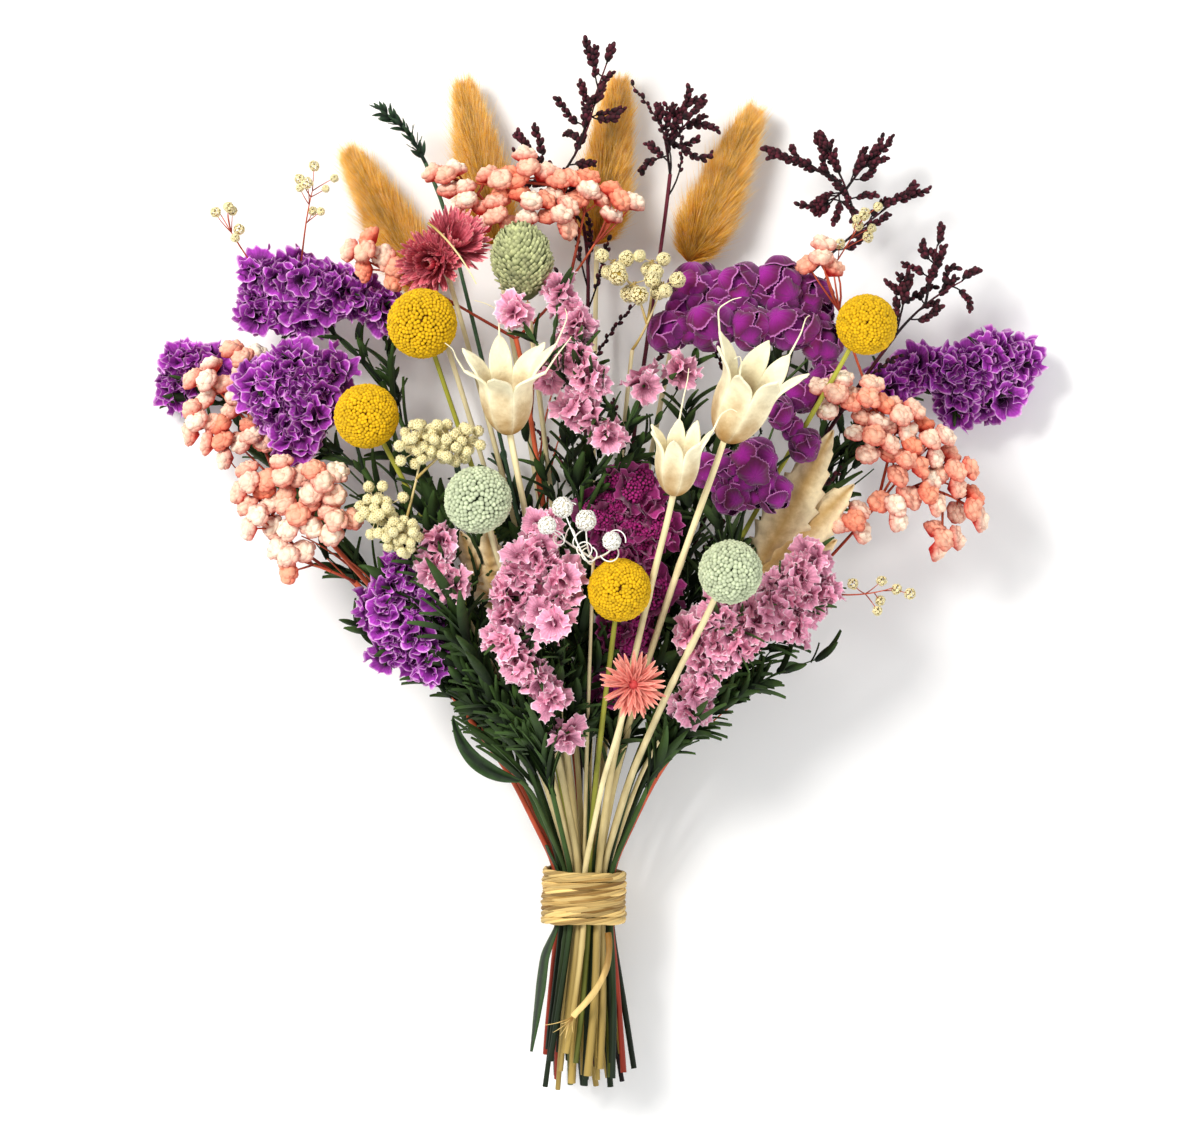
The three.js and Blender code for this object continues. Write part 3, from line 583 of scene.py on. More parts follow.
for number in range(1, 5):
    name = f"bunny_tail_{number}"
    node = name + "_head"
    points = vertices_of(node)
    base = base_of(points, name)
    tip = points[np.argmax(np.linalg.norm(points - base, axis=1))]
    axis = unit(tip - base)
    length = np.linalg.norm(tip - base)
    across = points - base - np.outer((points - base) @ axis, axis)
    radius = np.linalg.norm(across, axis=1).max()
    t = np.linspace(0.01, 0.9, 30)
    core = tube(base + np.outer(t * length, axis), girth(t, radius) * 0.42 + 0.0003, 16, 0.4)
    build(name + "_core", core, core_skin, node)
    build(name + "_fluff", [fluff(base, axis, length, radius)], tail_skin, node)

# ---------------------------------------------------------------- Canary grass
# A plump green-grey seed head on a straw-coloured stalk. Flat pointed scales overlap up it like
# tiles, each grown from a firm core.
CANARY_SCALES = 620
CANARY_RADIUS = 0.0128

# Papery husks: matt grey-green, paler at each point, with a faint sheen.
canary_skin = plant_finish(
    "green_grass_scale", 0x66703A, 0xC4C892, roughness=0.8, mottle=2.0, relief=0.3, spread=0.4,
    sheen=0.1,
)


def sphere_spots(count, top=1.0, bottom=-1.0):
    """Evenly spread directions, from top to bottom as a share of the height of a ball."""
    k = np.arange(count) + 0.5
    height = top + (bottom - top) * k / count
    turn = np.pi * (1 + 5**0.5) * k
    flat = np.sqrt(np.maximum(1 - height**2, 0))
    return np.stack([flat * np.cos(turn), flat * np.sin(turn), height], -1)


def scale_shape(length=1.0, width=0.5, cup=0.25, hook=0.3, rows=6, columns=5):
    """A pointed petal or scale that stands up along Z from its root, hollow towards +X."""
    v, u = np.meshgrid(np.linspace(0, 1, rows), np.linspace(-1, 1, columns), indexing="ij")
    broad = width * np.sin(np.pi * np.clip(v * 0.86 + 0.12, 0, 1)) ** 0.8
    x = cup * width * (u**2) - hook * v**2 * length
    verts = np.stack([x, u * broad, v * length], -1).reshape(-1, 3)
    return verts, grid_faces(rows, columns, False), v.reshape(-1)


def stamp(shape, places, ways, sizes, tints=None, spin=None):
    """Copies of a small shape, its Z axis turned to ways, as one chunk. The last part of the tint
    is the share of the way round the shape where it has one, and otherwise is random."""
    verts, faces, along = shape[:3]
    count = len(places)
    ways = unit(np.asarray(ways, float))
    side, over = basis(ways)
    turn = rng.uniform(0, 2 * np.pi, count) if spin is None else np.broadcast_to(spin, (count,))
    c, s = np.cos(turn)[:, None], np.sin(turn)[:, None]
    side, over = side * c + over * s, over * c - side * s
    sizes = np.broadcast_to(sizes, (count,))
    axes = np.stack([side, over, ways], 1) * sizes[:, None, None]
    made = np.einsum("vk,qkj->qvj", verts, axes) + np.asarray(places)[:, None]
    index = faces[None] + (np.arange(count) * len(verts))[:, None, None]
    tints = rng.uniform(0, 1, count) if tints is None else np.broadcast_to(tints, (count,))
    shade = np.repeat(tints, len(verts))
    extra = np.tile(shape[3], count) if len(shape) > 3 else np.repeat(rng.uniform(0, 1, count), len(verts))
    colours = np.stack([shade, np.tile(along, count), extra], -1)
    return (made.reshape(-1, 3), index.reshape(-1, faces.shape[1]), colours)


def facing_spin(ways, towards):
    """The spin that turns a stamped shape's +X side towards a direction."""
    side, over = basis(unit(ways))
    return np.arctan2((over * towards).sum(1), (side * towards).sum(1))


points = vertices_of("canary_grass_head")
centre = (points.min(0) + points.max(0)) / 2
axis = unit(centre - stem_ends["canary_grass"])
side, over = basis(axis)
length = np.linalg.norm(centre - stem_ends["canary_grass"]) * 2
core_line = centre + np.outer(np.linspace(-0.46, 0.46, 14) * length, axis)
chunks = tube(core_line, CANARY_RADIUS * 0.76 * np.sqrt(1 - np.linspace(-0.98, 0.98, 14) ** 2), 16, 0.2)
spots = sphere_spots(CANARY_SCALES, 0.98, -0.98)
local = spots[:, :1] * side * CANARY_RADIUS * 0.82 + spots[:, 1:2] * over * CANARY_RADIUS * 0.82
local = local + spots[:, 2:] * axis * length * 0.42
outward = unit(local / CANARY_RADIUS)
ways = unit(outward * 0.75 + axis * 1.0 + rng.normal(0, 0.1, local.shape))
sizes = rng.uniform(0.0030, 0.0041, CANARY_SCALES)
scales = scale_shape(1, 0.36, 0.5, -0.1)
chunks.append(stamp(scales, centre + local, ways, sizes, spin=facing_spin(ways, -outward)))
build("canary_grass_scales", chunks, canary_skin, "canary_grass_head")

# ---------------------------------------------------------------- Billy buttons
# Hard yellow balls on bare green stalks. Each is packed from nine hundred tiny round florets,
# lemon at their tops and dark gold at their feet, in the gaps between them, as painted shade.
BUTTON_FLORETS = 900
BUTTON_FLORET = 0.00092

# Dry florets: dead matt, lemon on top, and dark gold in the gaps as painted shade.
button_skin = plant_finish(
    "packed_yellow_florets", 0x763A00, 0xE2B604, roughness=0.75, mottle=1.0, relief=0.3, spread=0.2,
    turn_at=0.56,
)


def blob_shape(detail=1, squash=1.0):
    """A small round bead. Its tint runs from the side it grows on to its top."""
    made = bmesh.new()
    bmesh.ops.create_icosphere(made, subdivisions=detail, radius=1)
    verts = np.array([v.co for v in made.verts])
    faces = np.array([[v.index for v in f.verts] for f in made.faces])
    made.free()
    verts[:, 2] *= squash
    return verts, faces, (verts[:, 2] / squash + 1) / 2


def packed_ball(centre, radius, count, size, shape, rough):
    """Florets packed over a ball, each a little in or out by a share of the radius."""
    spots = sphere_spots(count, 0.998, -0.998)
    ways = unit(spots + rng.normal(0, 0.05, spots.shape))
    spots = unit(spots + rng.normal(0, 0.16 * size / radius, spots.shape))
    reach = radius - size * 0.9 + rng.normal(0, rough * radius * 0.4, count)
    return stamp(shape, centre + spots * reach[:, None], ways, size * rng.uniform(0.88, 1.12, count))


def round_core(centre, radius, tint=0.1):
    """A ball in its material's root colour that closes the gaps between florets; where that colour is dark,
    it is painted shade.
    """
    verts, faces, along = blob_shape(4)
    return (verts * radius + centre, faces, np.stack([np.full(len(verts), tint), along * 0, along], -1))


def ball_of(node):
    """The middle and the radius of a round CAD head."""
    points = vertices_of(node)
    centre = (points.min(0) + points.max(0)) / 2
    return centre, np.linalg.norm(points - centre, axis=1).max()


def floret_ball(head, skin, count, size, height, rough, sunk):
    """A round head: florets that are height times as high as wide, over a core sunk below them."""
    centre, radius = ball_of(head + "_head")
    chunks = [
        round_core(centre, radius - size * sunk),
        packed_ball(centre, radius, count, size, blob_shape(2, height), rough),
    ]
    build(head + "_florets", chunks, skin, head + "_head")


for number in range(1, 5):
    floret_ball(
        f"billy_button_{number}", button_skin, BUTTON_FLORETS, BUTTON_FLORET,
        height=1.25, rough=0.012, sunk=1.5,
    )

# ---------------------------------------------------------------- Sage balls
# The same kind of round head, bleached and dyed a soft sage green. Its florets are fewer, larger
# and looser, with darker green between them as painted shade.
SAGE_FLORETS = 640
SAGE_FLORET = 0.00108

# Bleached and dyed florets: chalky pale green, dark green at their feet as painted shade.
sage_skin = plant_finish(
    "dyed_sage_florets", 0x36442C, 0xCED8B4, roughness=0.85, mottle=1.5, relief=0.3, spread=0.2,
    turn_at=0.60,
)
for number in (1, 2):
    floret_ball(
        f"sage_ball_{number}", sage_skin, SAGE_FLORETS, SAGE_FLORET,
        height=1.3, rough=0.02, sunk=1.7,
    )

# ---------------------------------------------------------------- Star pods
# Bleached woody seed cups: seven carpels fused below, with broad pale lobes that flare above and
# stiff white threads that stand at angles on some tips. Smooth and faintly waxy, tan low in the cup and
# down each lobe's hollow middle, partly its own colour and partly painted shade.
POD_CARPELS = 7
POD_OPEN = (1.0, 0.74, 0.40)  # how far each pod's lobes have opened
POD_THREADS = (7, 7, 3)  # each pod has threads only on the lobes before this one
POD_MOUTH, POD_SPREAD = 21, 40  # the closed cup's width to the open lobes'
POD_WALL = 0.0011

# Bleached woody wall: smooth and faintly waxy, ivory with tan at its foot, partly its own colour and partly
# painted shade.
pod_skin = plant_finish(
    "bleached_pod", 0xB0823C, 0xFBF3CE, roughness=0.45, mottle=7.0, relief=1.2, spread=0.08,
    turn_at=0.50,
)


def carpel(mouth, height, flare, turn, rise, twist):
    """One lobe of the cup as a sheet round the pod's Z axis, how pale it is, and its tip."""
    rows, columns = 30, 13
    v = np.linspace(0, 1, rows)
    u = np.linspace(-1, 1, columns)
    bowl = np.clip(v / 0.5, 0, 1) * np.pi / 2
    out = np.clip((v - 0.5) / 0.5, 0, 1)
    reach = mouth * np.sin(bowl) ** 0.85 + (flare - mouth) * out**2.2 - 0.05 * mouth * np.sin(np.pi * out)
    level = height * (0.56 * (1 - np.cos(bowl)) ** 0.85 + (rise - 0.56) * out)
    half = np.pi / POD_CARPELS * (1.06 - 0.98 * out**2.7)
    angle = turn + half[:, None] * u[None] + (twist * out**2)[:, None]
    fold = (1 - u[None] ** 2) ** 2
    pressed = 1 - 0.07 * fold * np.sin(bowl)[:, None] * (1 - out)[:, None] + 0.05 * fold * out[:, None]
    r = reach[:, None] * pressed
    z = level[:, None] - 0.04 * height * np.abs(u[None]) * out[:, None]
    verts = np.stack([r * np.cos(angle), r * np.sin(angle), z], -1)
    # Paler up each lobe and out to its edges: the tan low in the cup and down the lobe's hollow middle is
    # partly painted shade.
    pale = np.clip(v[:, None] * 1.05 + 0.28 * np.abs(u[None]) ** 3, 0, 1)
    return verts, pale.reshape(-1), verts[-3:, columns // 2]


for number, opened, threads in zip((1, 2, 3), POD_OPEN, POD_THREADS):
    name = f"star_pod_{number}"
    node = name + "_head"
    points = vertices_of(node)
    base = base_of(points, name)
    axis = unit(points.mean(0) - base)
    side, over = basis(axis)
    rise = ((points - base) @ axis).max()
    out = points - base - np.outer((points - base) @ axis, axis)
    spread = np.linalg.norm(out, axis=1).max()
    mouth = spread * POD_MOUTH / POD_SPREAD
    to_world = np.stack([side, over, axis])
    lobes, horns = [], []
    for k in range(POD_CARPELS):
        flare = mouth + (spread - mouth) * opened * rng.uniform(0.85, 1.1)
        sheet, pale, end = carpel(
            mouth, rise, flare, 2 * np.pi * k / POD_CARPELS, rng.uniform(0.92, 1.08), rng.normal(0, 0.12)
        )
        rows, columns = sheet.shape[:2]
        verts = sheet.reshape(-1, 3) @ to_world + base
        shade = np.full(len(verts), rng.uniform(0.3, 1))
        lobes.append((verts, grid_faces(rows, columns, False), coloured(shade, pale)))
        if (k + number) % 2 and k < threads:
            heading = unit(end[-1] - end[0])
            way = unit(heading + (0, 0, 0.9))
            corners = [end[-1] - heading * 0.0008]
            for reach in (0.008, 0.006, 0.004):
                corners.append(corners[-1] + way * reach * rng.uniform(0.8, 1.3))
                way = unit(way + rng.normal(0, 0.5, 3))
            route = smooth_line(np.array(corners), 16, 2)
            horns += tube(route @ to_world + base, np.linspace(0.00042, 0.00016, 16), 6, 0.9)
    cup = build(name + "_cup", lobes, pod_skin, node)
    shell = cup.modifiers.new("wall", "SOLIDIFY")
    shell.thickness = POD_WALL
    shell.offset = -0.3
    cup.modifiers.new("round", "SUBSURF").levels = 1
    cup.modifiers["round"].render_levels = 1
    for _, _, tint in horns:
        tint[:, 1] = 1  # as pale all along as the edge of a lobe
    build(name + "_horns", horns, pod_skin, node)

# ---------------------------------------------------------------- Sprays: how their parts are found
# A CAD spray is a stem, thin branches and a ball for each tuft. The balls are twenty-sided, so
# any face with three equal sides gives its ball's middle and size.


BALL_REACH = 0.95106  # the radius of a twenty-sided ball over its edge
FACE_DEPTH = 0.79465  # how far a face lies from its middle, over its radius
STEM_WIDEST = 0.0042  # a cut wider than this has met a branch
SPRAY_STEM = 0.0011  # radius


def tufts_of(node):
    """The middle and radius of every tuft in a CAD spray, from the cut end outwards."""
    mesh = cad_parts[node].data
    points = vertices_of(node)
    mesh.calc_loop_triangles()
    triangles = points[np.array([t.vertices for t in mesh.loop_triangles])]
    sides = np.stack([np.linalg.norm(triangles[:, k] - triangles[:, k - 1], axis=1) for k in range(3)], -1)
    even = (np.ptp(sides, axis=1) < 0.015 * sides.mean(1)) & (sides.mean(1) > 0.0025)
    triangles, edge = triangles[even], sides[even].mean(1)
    across = unit(np.cross(triangles[:, 1] - triangles[:, 0], triangles[:, 2] - triangles[:, 0]))
    radius = edge * BALL_REACH
    middles = triangles.mean(1) - across * (radius * FACE_DEPTH)[:, None]
    found = []
    for middle, r in zip(middles, radius):
        for known in found:
            if np.linalg.norm(known[0] - middle) < 0.0008 and abs(known[1] - r) < 0.0003:
                known[2] += 1
                break
        else:
            found.append([middle, r, 1])
    found = [f for f in found if f[2] >= 2] or found
    return [(f[0], f[1]) for f in found]


def spray_of(node):
    """The stem line up to where a CAD spray forks, and its tufts."""
    tufts = tufts_of(node)
    line = line_of(node, STEM_WIDEST, steps=60)
    below = line[:, 1] < min(middle[1] - radius for middle, radius in tufts)
    if below.sum() > 5:
        line = line[below]
    return line, tufts


def twig(start, end, radius, tint=0.5, count=9, wobble=0.04):
    """A thin bent branch from one point to another, half as thick at its end, and its line."""
    t = np.linspace(0, 1, count)[:, None]
    bow = rng.normal(0, wobble, 3) * np.linalg.norm(end - start)
    route = start * (1 - t) + end * t + bow * (4 * t * (1 - t))
    return tube(route, radius * np.linspace(1, 0.5, count), 6, tint), route


def spray_stalks(line, tufts, stem_radius, twig_radius):
    """The stem and a branch to every tuft, which leaves the fork or half way along a near branch."""
    chunks = stalk(line, stem_radius, joints=1)
    routes = []
    fork = line[-1]
    for middle, _ in tufts:
        far = np.linalg.norm(fork - middle)
        near = [r for r in routes if np.linalg.norm(r[-1] - middle) < far * 0.75]
        start = fork
        if near:
            best = min(near, key=lambda r: np.linalg.norm(r[-1] - middle))
            start = best[len(best) // 2]
        made, route = twig(start, middle, twig_radius, tint=rng.uniform(0.2, 0.9))
        chunks += made
        routes.append(route)
    return chunks, routes


# ---------------------------------------------------------------- Violet statice
# Papery funnel flowers crowded along one side of branching stems that carry thin green wings.
# The funnels are pleated and ruffled, deep violet inside, nearly black in the throat as painted shade, and
# paler at the dry rim.
# Dry papery petal: matt, finely pleated, pale at its rim, and nearly black in its throat as painted shade.
violet_skin = plant_finish(
    "papery_violet", 0x2A0428, 0xB03CB8, roughness=0.75, mottle=1.6, relief=0.3, spread=0.36,
    turn_at=0.54, rim=0xF0BAEC, rim_at=0.88, veins=30,
)
# Winged stalk: matt, and so dark that it reads as shadow between the flowers.
winged_skin = plant_finish(
    "dark_green_stalk", 0x101E0C, 0x38521F, roughness=0.7, mottle=4.0, relief=0.4, spread=0.4,
    fibre=(1.0, 0.1, 1.0),
)


RUFFLE_SIDES = 60
THROAT = 0.12  # the funnel's width at its root, over its mouth
TUFT_FILL = (0.35, 0.72)  # flowers root between these shares of a tuft's radius
WING_STEPS = 30
BARE_NECK = 0.030  # no leaf grows this near the tie
BARE_STEM = 0.045  # and no twig this near
TWIG_SINK = 0.12  # how steeply side twigs drop behind their stem


def ruffle_shape(waves, fold, depth, teeth=0.0):
    """A papery funnel whose rim is longer than it has room for, so that it falls into waves."""
    turn = ring_angles(RUFFLE_SIDES)
    t = np.array([0, 0.25, 0.5, 0.7, 0.84, 0.93, 1.0])[:, None]
    swing = sum(np.sin(k * turn + rng.uniform(0, 6.3)) * share for k, share in waves)[None]
    sway = sum(np.cos(k * turn + rng.uniform(0, 6.3)) * share for k, share in waves)[None]
    z = depth * t**0.65 + fold * t**2.2 * swing
    r = (THROAT + (1 - THROAT) * t**0.95) * (1 + 0.5 * fold * t**2 * sway)
    r = r * (1 + teeth * t**10 * np.cos(RUFFLE_SIDES / 3 * turn)[None])
    verts = np.stack([r * np.cos(turn), r * np.sin(turn), z], -1).reshape(-1, 3)
    around = np.broadcast_to((turn / (2 * np.pi))[None], z.shape).reshape(-1)
    return verts, grid_faces(len(t), RUFFLE_SIDES, True), np.repeat(t[:, 0], RUFFLE_SIDES), around


def filled_tuft(middle, radius, count, size, shapes, towards, spread=0.25):
    """Flowers that fill a tuft, their mouths facing out and a little towards one side."""
    spots = sphere_spots(count)[rng.permutation(count)]
    ways = unit(spots + np.asarray(towards) * 0.5 + rng.normal(0, spread, spots.shape))
    places = middle + spots * radius * rng.uniform(*TUFT_FILL, count)[:, None] - ways * size * 0.45
    pick = rng.integers(0, len(shapes), count)
    return [
        stamp(shape, places[pick == k], ways[pick == k], size * rng.uniform(0.75, 1.12, (pick == k).sum()))
        for k, shape in enumerate(shapes) if (pick == k).any()
    ]


def filled_in(tufts, gap):
    """The tufts and a smaller one between any two that nearly touch, so that the flowers run on."""
    more = []
    for k, (a, ra) in enumerate(tufts):
        for b, rb in tufts[:k]:
            if np.linalg.norm(a - b) < ra + rb + gap:
                more.append(((a + b) / 2, (ra + rb) / 2 * 0.7))
    return tufts + more


def wing(line, width, tint):
    """A thin leafy wing along a stem."""
    line = smooth_line(line, WING_STEPS)
    along = unit(np.gradient(line, axis=0))
    side = unit(np.cross(along, (0.1, 0, 1)))
    ripple = width * (0.7 + 0.3 * np.sin(np.linspace(0, 26, WING_STEPS)))
    verts = np.stack([line - side * ripple[:, None], line, line + side * ripple[:, None]], 1)
    verts[:, 1, 2] += width * 0.25
    colours = coloured(np.full(WING_STEPS * 3, tint), np.tile([0.9, 0.1, 0.9], WING_STEPS))
    return (verts.reshape(-1, 3), grid_faces(WING_STEPS, 3, False), colours)


def green_blades(line, count, shortest, longest, width, slant):
    """Narrow leaves that leave a stem at a slant, none of them near the tie."""
    line = smooth_line(line, 80)
    line = line[line[:, 1] > tie_high.y + BARE_NECK]
    at = rng.integers(0, len(line) - 1, count)
    along = unit(np.gradient(line, axis=0))[at]
    side, over = basis(along)
    turn = rng.uniform(0, 2 * np.pi, count)
    out = swung(turn, side, over)
    ways = unit(along + out * rng.uniform(0.4 * slant, 1.2 * slant, count)[:, None])
    return stamp(
        scale_shape(1, width, 0.5, 0.16, 10, 5), line[at], ways, rng.uniform(shortest, longest, count),
        spin=facing_spin(ways, -out),
    )


def side_twigs(line, count, shortest, longest, leaves, slant=0.35):
    """Thin twigs that leave a stem well above the tie and sink behind it, each with small leaves,
    which are counted for 30 mm of twig."""
    line = smooth_line(line, 80)
    line = line[line[:, 1] > tie_high.y + BARE_STEM]
    along = unit(np.gradient(line, axis=0))
    chunks = []
    for k in rng.integers(0, len(line) - 1, count):
        way = unit(along[k] + rng.normal(0, slant, 3) * (1, 0.3, 0.35) - (0, 0, TWIG_SINK))
        reach = rng.uniform(shortest, longest)
        end = line[k] + way * reach
        end[2] = np.clip(end[2], 0.002, line[k, 2] - 0.004)
        made, route = twig(line[k], end, 0.0005, tint=rng.uniform(0.2, 0.8))
        chunks += made
        if leaves:
            grown = int(leaves * reach / 0.03)
            chunks.append(green_blades(route, grown, 0.007, 0.017, width=0.15, slant=0.8))
    return chunks


WAVES = ((5, 0.8), (8, 0.5), (13, 0.25))  # how many waves go round a rim, and how strong each is
VIOLET_FLORET = 0.0070
for number in range(1, 6):
    node = f"violet_statice_{number}"
    line, tufts = spray_of(node)
    stalks, routes = spray_stalks(line, tufts, SPRAY_STEM, 0.0008)
    stalks += [wing(r, 0.0013, rng.uniform(0.3, 0.9)) for r in routes]
    stalks.append(wing(line[len(line) // 2 :], 0.0016, 0.6))
    stalks.append(green_blades(line, 20, 0.016, 0.034, width=0.07, slant=0.3))
    stalks += side_twigs(line, 9, 0.020, 0.050, leaves=8)
    stalks += [green_blades(r, 6, 0.008, 0.015, width=0.13, slant=0.9) for r in routes]
    build(node + "_stalks", stalks, winged_skin, node)
    heads = []
    outward = unit(np.mean([t[0] for t in tufts], axis=0) - line[-1]) * 0.5 + np.array([0, 0, 0.6])
    ruffles = [ruffle_shape(WAVES, 0.26, 0.75) for _ in range(4)]
    for middle, radius in filled_in(tufts, 0.005):
        count = int(9 * (radius / 0.010) ** 1.4) + 3
        heads += filled_tuft(middle, radius * 1.05, count, VIOLET_FLORET, ruffles, outward)
    build(node + "_florets", heads, violet_skin, node)

# ---------------------------------------------------------------- Pink statice
# The same papery flowers in soft pink, smaller and closer. Their rims are toothed and almost
# white, and the stems carry the same thin green wings.
# The same paper in pink: nearly white at its rim, and deep rose in its throat as painted shade.
pink_skin = plant_finish(
    "papery_pink", 0x7A2448, 0xF0A6C2, roughness=0.75, mottle=1.3, relief=0.3, spread=0.22,
    turn_at=0.36, rim=0xFFEAF0, rim_at=0.9, veins=24,
)
FANS = ((4, 0.6), (7, 0.6), (11, 0.35))
PINK_FLORET = 0.0066
for number in range(1, 5):
    node = f"pink_statice_{number}"
    line, tufts = spray_of(node)
    stalks, routes = spray_stalks(line, tufts, SPRAY_STEM, 0.0007)
    stalks += [wing(r, 0.0011, rng.uniform(0.3, 0.9)) for r in routes]
    stalks.append(green_blades(line, 22, 0.016, 0.036, width=0.07, slant=0.3))
    stalks += side_twigs(line, 22, 0.025, 0.080, leaves=9, slant=0.42)
    stalks += [green_blades(r, 6, 0.008, 0.016, width=0.11, slant=0.9) for r in routes]
    build(node + "_stalks", stalks, winged_skin, node)
    heads = []
    outward = unit(np.mean([t[0] for t in tufts], axis=0) - line[-1]) * 0.3 + np.array([0, 0, 0.7])
    ruffles = [ruffle_shape(FANS, 0.22, 0.42, teeth=0.07) for _ in range(4)]
    for middle, radius in filled_in(tufts, 0.003):
        count = int(8 * (radius / 0.009) ** 1.5) + 1
        heads += filled_tuft(middle, radius * 1.1, count, PINK_FLORET, ruffles, outward, spread=0.4)
    build(node + "_florets", heads, pink_skin, node)

# ---------------------------------------------------------------- Coral blossoms
# Soft puffed flowers on thin wiry red-brown branches. Each is three rings of round-ended
# petals, creamy or peach at their tips and coral red in the throat.
# Soft puffed petal: chalky, coral red in its throat, peach or cream where it bulges.
coral_skin = plant_finish(
    "puffed_petal", 0xC4160C, 0xFFF2DA, roughness=0.85, mottle=2.0, relief=0.5, spread=0.08,
    turn_at=0.62, other=0xFA9C76,
)
# Thin woody branch: matt red-brown.
wire_skin = plant_finish(
    "red_wiry_branch", 0x8A2A18, 0xD0603C, roughness=0.6, mottle=4.0, relief=0.4, spread=0.35,
    fibre=(1.0, 0.2, 1.0),
)


# For each ring: its petals, how far they lean out, their size and their turn in petals.
PETAL_RINGS = ((9, 0.95, 0.92, 0.0), (7, 0.5, 1.0, 0.5), (3, 0.16, 1.02, 0.0))
CORAL_PETAL = 0.0070
CORAL_SINK = 0.0036  # how deep a blossom sits in its place


def puff_shape():
    """A puffed petal that stands on its root along Z, widest near its round end, which leans
    towards +X."""
    rows, sides = 8, 8
    v = np.linspace(0, 1, rows)[:, None]
    turn = ring_angles(sides)[None]
    wide = (0.10 + 0.33 * v**0.9) * np.sqrt(1 - v**6)
    x = 0.10 * v**2 + 0.75 * wide * np.cos(turn)
    y = wide * np.sin(turn) * (1 + 0 * v)
    z = np.broadcast_to(v, x.shape)
    verts = np.stack([x, y, z], -1).reshape(-1, 3)
    return verts, grid_faces(rows, sides, True), np.repeat(v[:, 0] ** 1.3, sides)


def blossom(places, ways, size):
    """Rings of puffed petals round each place, coloured by how high they stand in their blossom."""
    chunks = []
    shape = puff_shape()
    side, over = basis(ways)
    hue = rng.uniform(0, 1, len(places)) ** 1.5
    for petals, tilt, scale, turned in PETAL_RINGS:
        for k in range(petals):
            turn = 2 * np.pi * (k + turned) / petals + rng.uniform(-0.2, 0.2, len(places))
            out = swung(turn, side, over)
            way = unit(ways + out * tilt)
            sizes = size * scale * rng.uniform(0.85, 1.1, len(places))
            verts, faces, tint = stamp(shape, places, way, sizes, spin=facing_spin(way, out))
            rise = verts - np.repeat(places, len(shape[0]), axis=0)
            tint[:, 1] = (rise * np.repeat(ways, len(shape[0]), axis=0)).sum(1) / (size * 0.9)
            tint[:, 2] = np.repeat(hue, len(shape[0]))
            chunks.append((verts, faces, tint))
    return chunks


for number in range(1, 5):
    node = f"coral_blossom_{number}"
    line, tufts = spray_of(node)
    stalks, routes = spray_stalks(line, tufts, SPRAY_STEM, 0.0007)
    stalks += side_twigs(line, 9, 0.025, 0.050, leaves=0, slant=0.25)
    heads = []
    for (middle, radius), route in zip(tufts, routes):
        way = unit(middle - line[-1])
        count = 5 if radius > 0.0085 else 4
        turn = ring_angles(count - 1) + rng.uniform(0, 6)
        ring = np.stack([np.cos(turn), np.sin(turn), rng.uniform(-0.25, 0.35, count - 1)], -1)
        spots = np.vstack([ring, way * 0.1 + (0, 0, 0.75)])
        places = middle + spots * (radius * 0.74)
        for place in places:
            stalks += twig(route[len(route) * 2 // 3], place, 0.0005, tint=0.5, count=6)[0]
        ways = unit(unit(spots) * 0.6 + way * 1.1 + (0, 0, 0.45) + rng.normal(0, 0.15, spots.shape))
        heads += blossom(places - ways * CORAL_SINK, ways, CORAL_PETAL)
    build(node + "_branches", stalks, wire_skin, node)
    build(node + "_flowers", heads, coral_skin, node)

# ---------------------------------------------------------------- Magenta globe flowers
# Heads of broad rounded lobes that close over one another, velvety magenta with a pale fringe
# along each edge, on dark green stalks.
# Velvet: dead matt with a soft sheen and a pale fringe along each edge, painted lighter magenta
# on each lobe's domed middle as painted light and darker where lobes close over one another as painted
# shade.
globe_skin = plant_finish(
    "velvet_lobe", 0x94168A, 0x500646, roughness=0.9, mottle=1.0, relief=0.25, spread=0.32,
    turn_at=0.62, sheen=0.3, rim=0xD884CC, rim_at=0.93, other=0x5E0634,
)
# Dried green stalk: matt and dark.
green_skin = plant_finish(
    "dark_green_twig", 0x14220C, 0x42582A, roughness=0.7, mottle=4.0, relief=0.4, spread=0.35,
    fibre=(1.0, 0.15, 1.0),
)


LOBES_PER_TUFT = 10
LOBE_TEETH = 26


def lobe_shape():
    """A velvety lobe seen from outside: a rounded cushion along Z with a scalloped, fringed edge."""
    columns = LOBE_TEETH * 3
    v = np.array([0.02, 0.2, 0.4, 0.58, 0.72, 0.83, 0.9, 0.95, 0.98, 1.0])[:, None]
    turn = ring_angles(columns)
    outline = 1 + 0.10 * np.cos(3 * turn + rng.uniform(0, 6)) + 0.07 * np.cos(5 * turn + rng.uniform(0, 6))
    r = v * outline * (1 + 0.05 * np.cos(LOBE_TEETH * turn) * v**10)
    ridges = 0.035 * np.cos(LOBE_TEETH / 2 * turn) * v * (1 - v**6)
    z = 0.66 * (1 - v**2.6) + ridges + 0.07 * np.cos(4 * turn + rng.uniform(0, 6)) * v**2
    verts = np.stack([r * np.cos(turn), r * np.sin(turn), z * np.ones_like(r)], -1).reshape(-1, 3)
    return verts, grid_faces(len(v), columns, True), np.repeat(v[:, 0], columns)


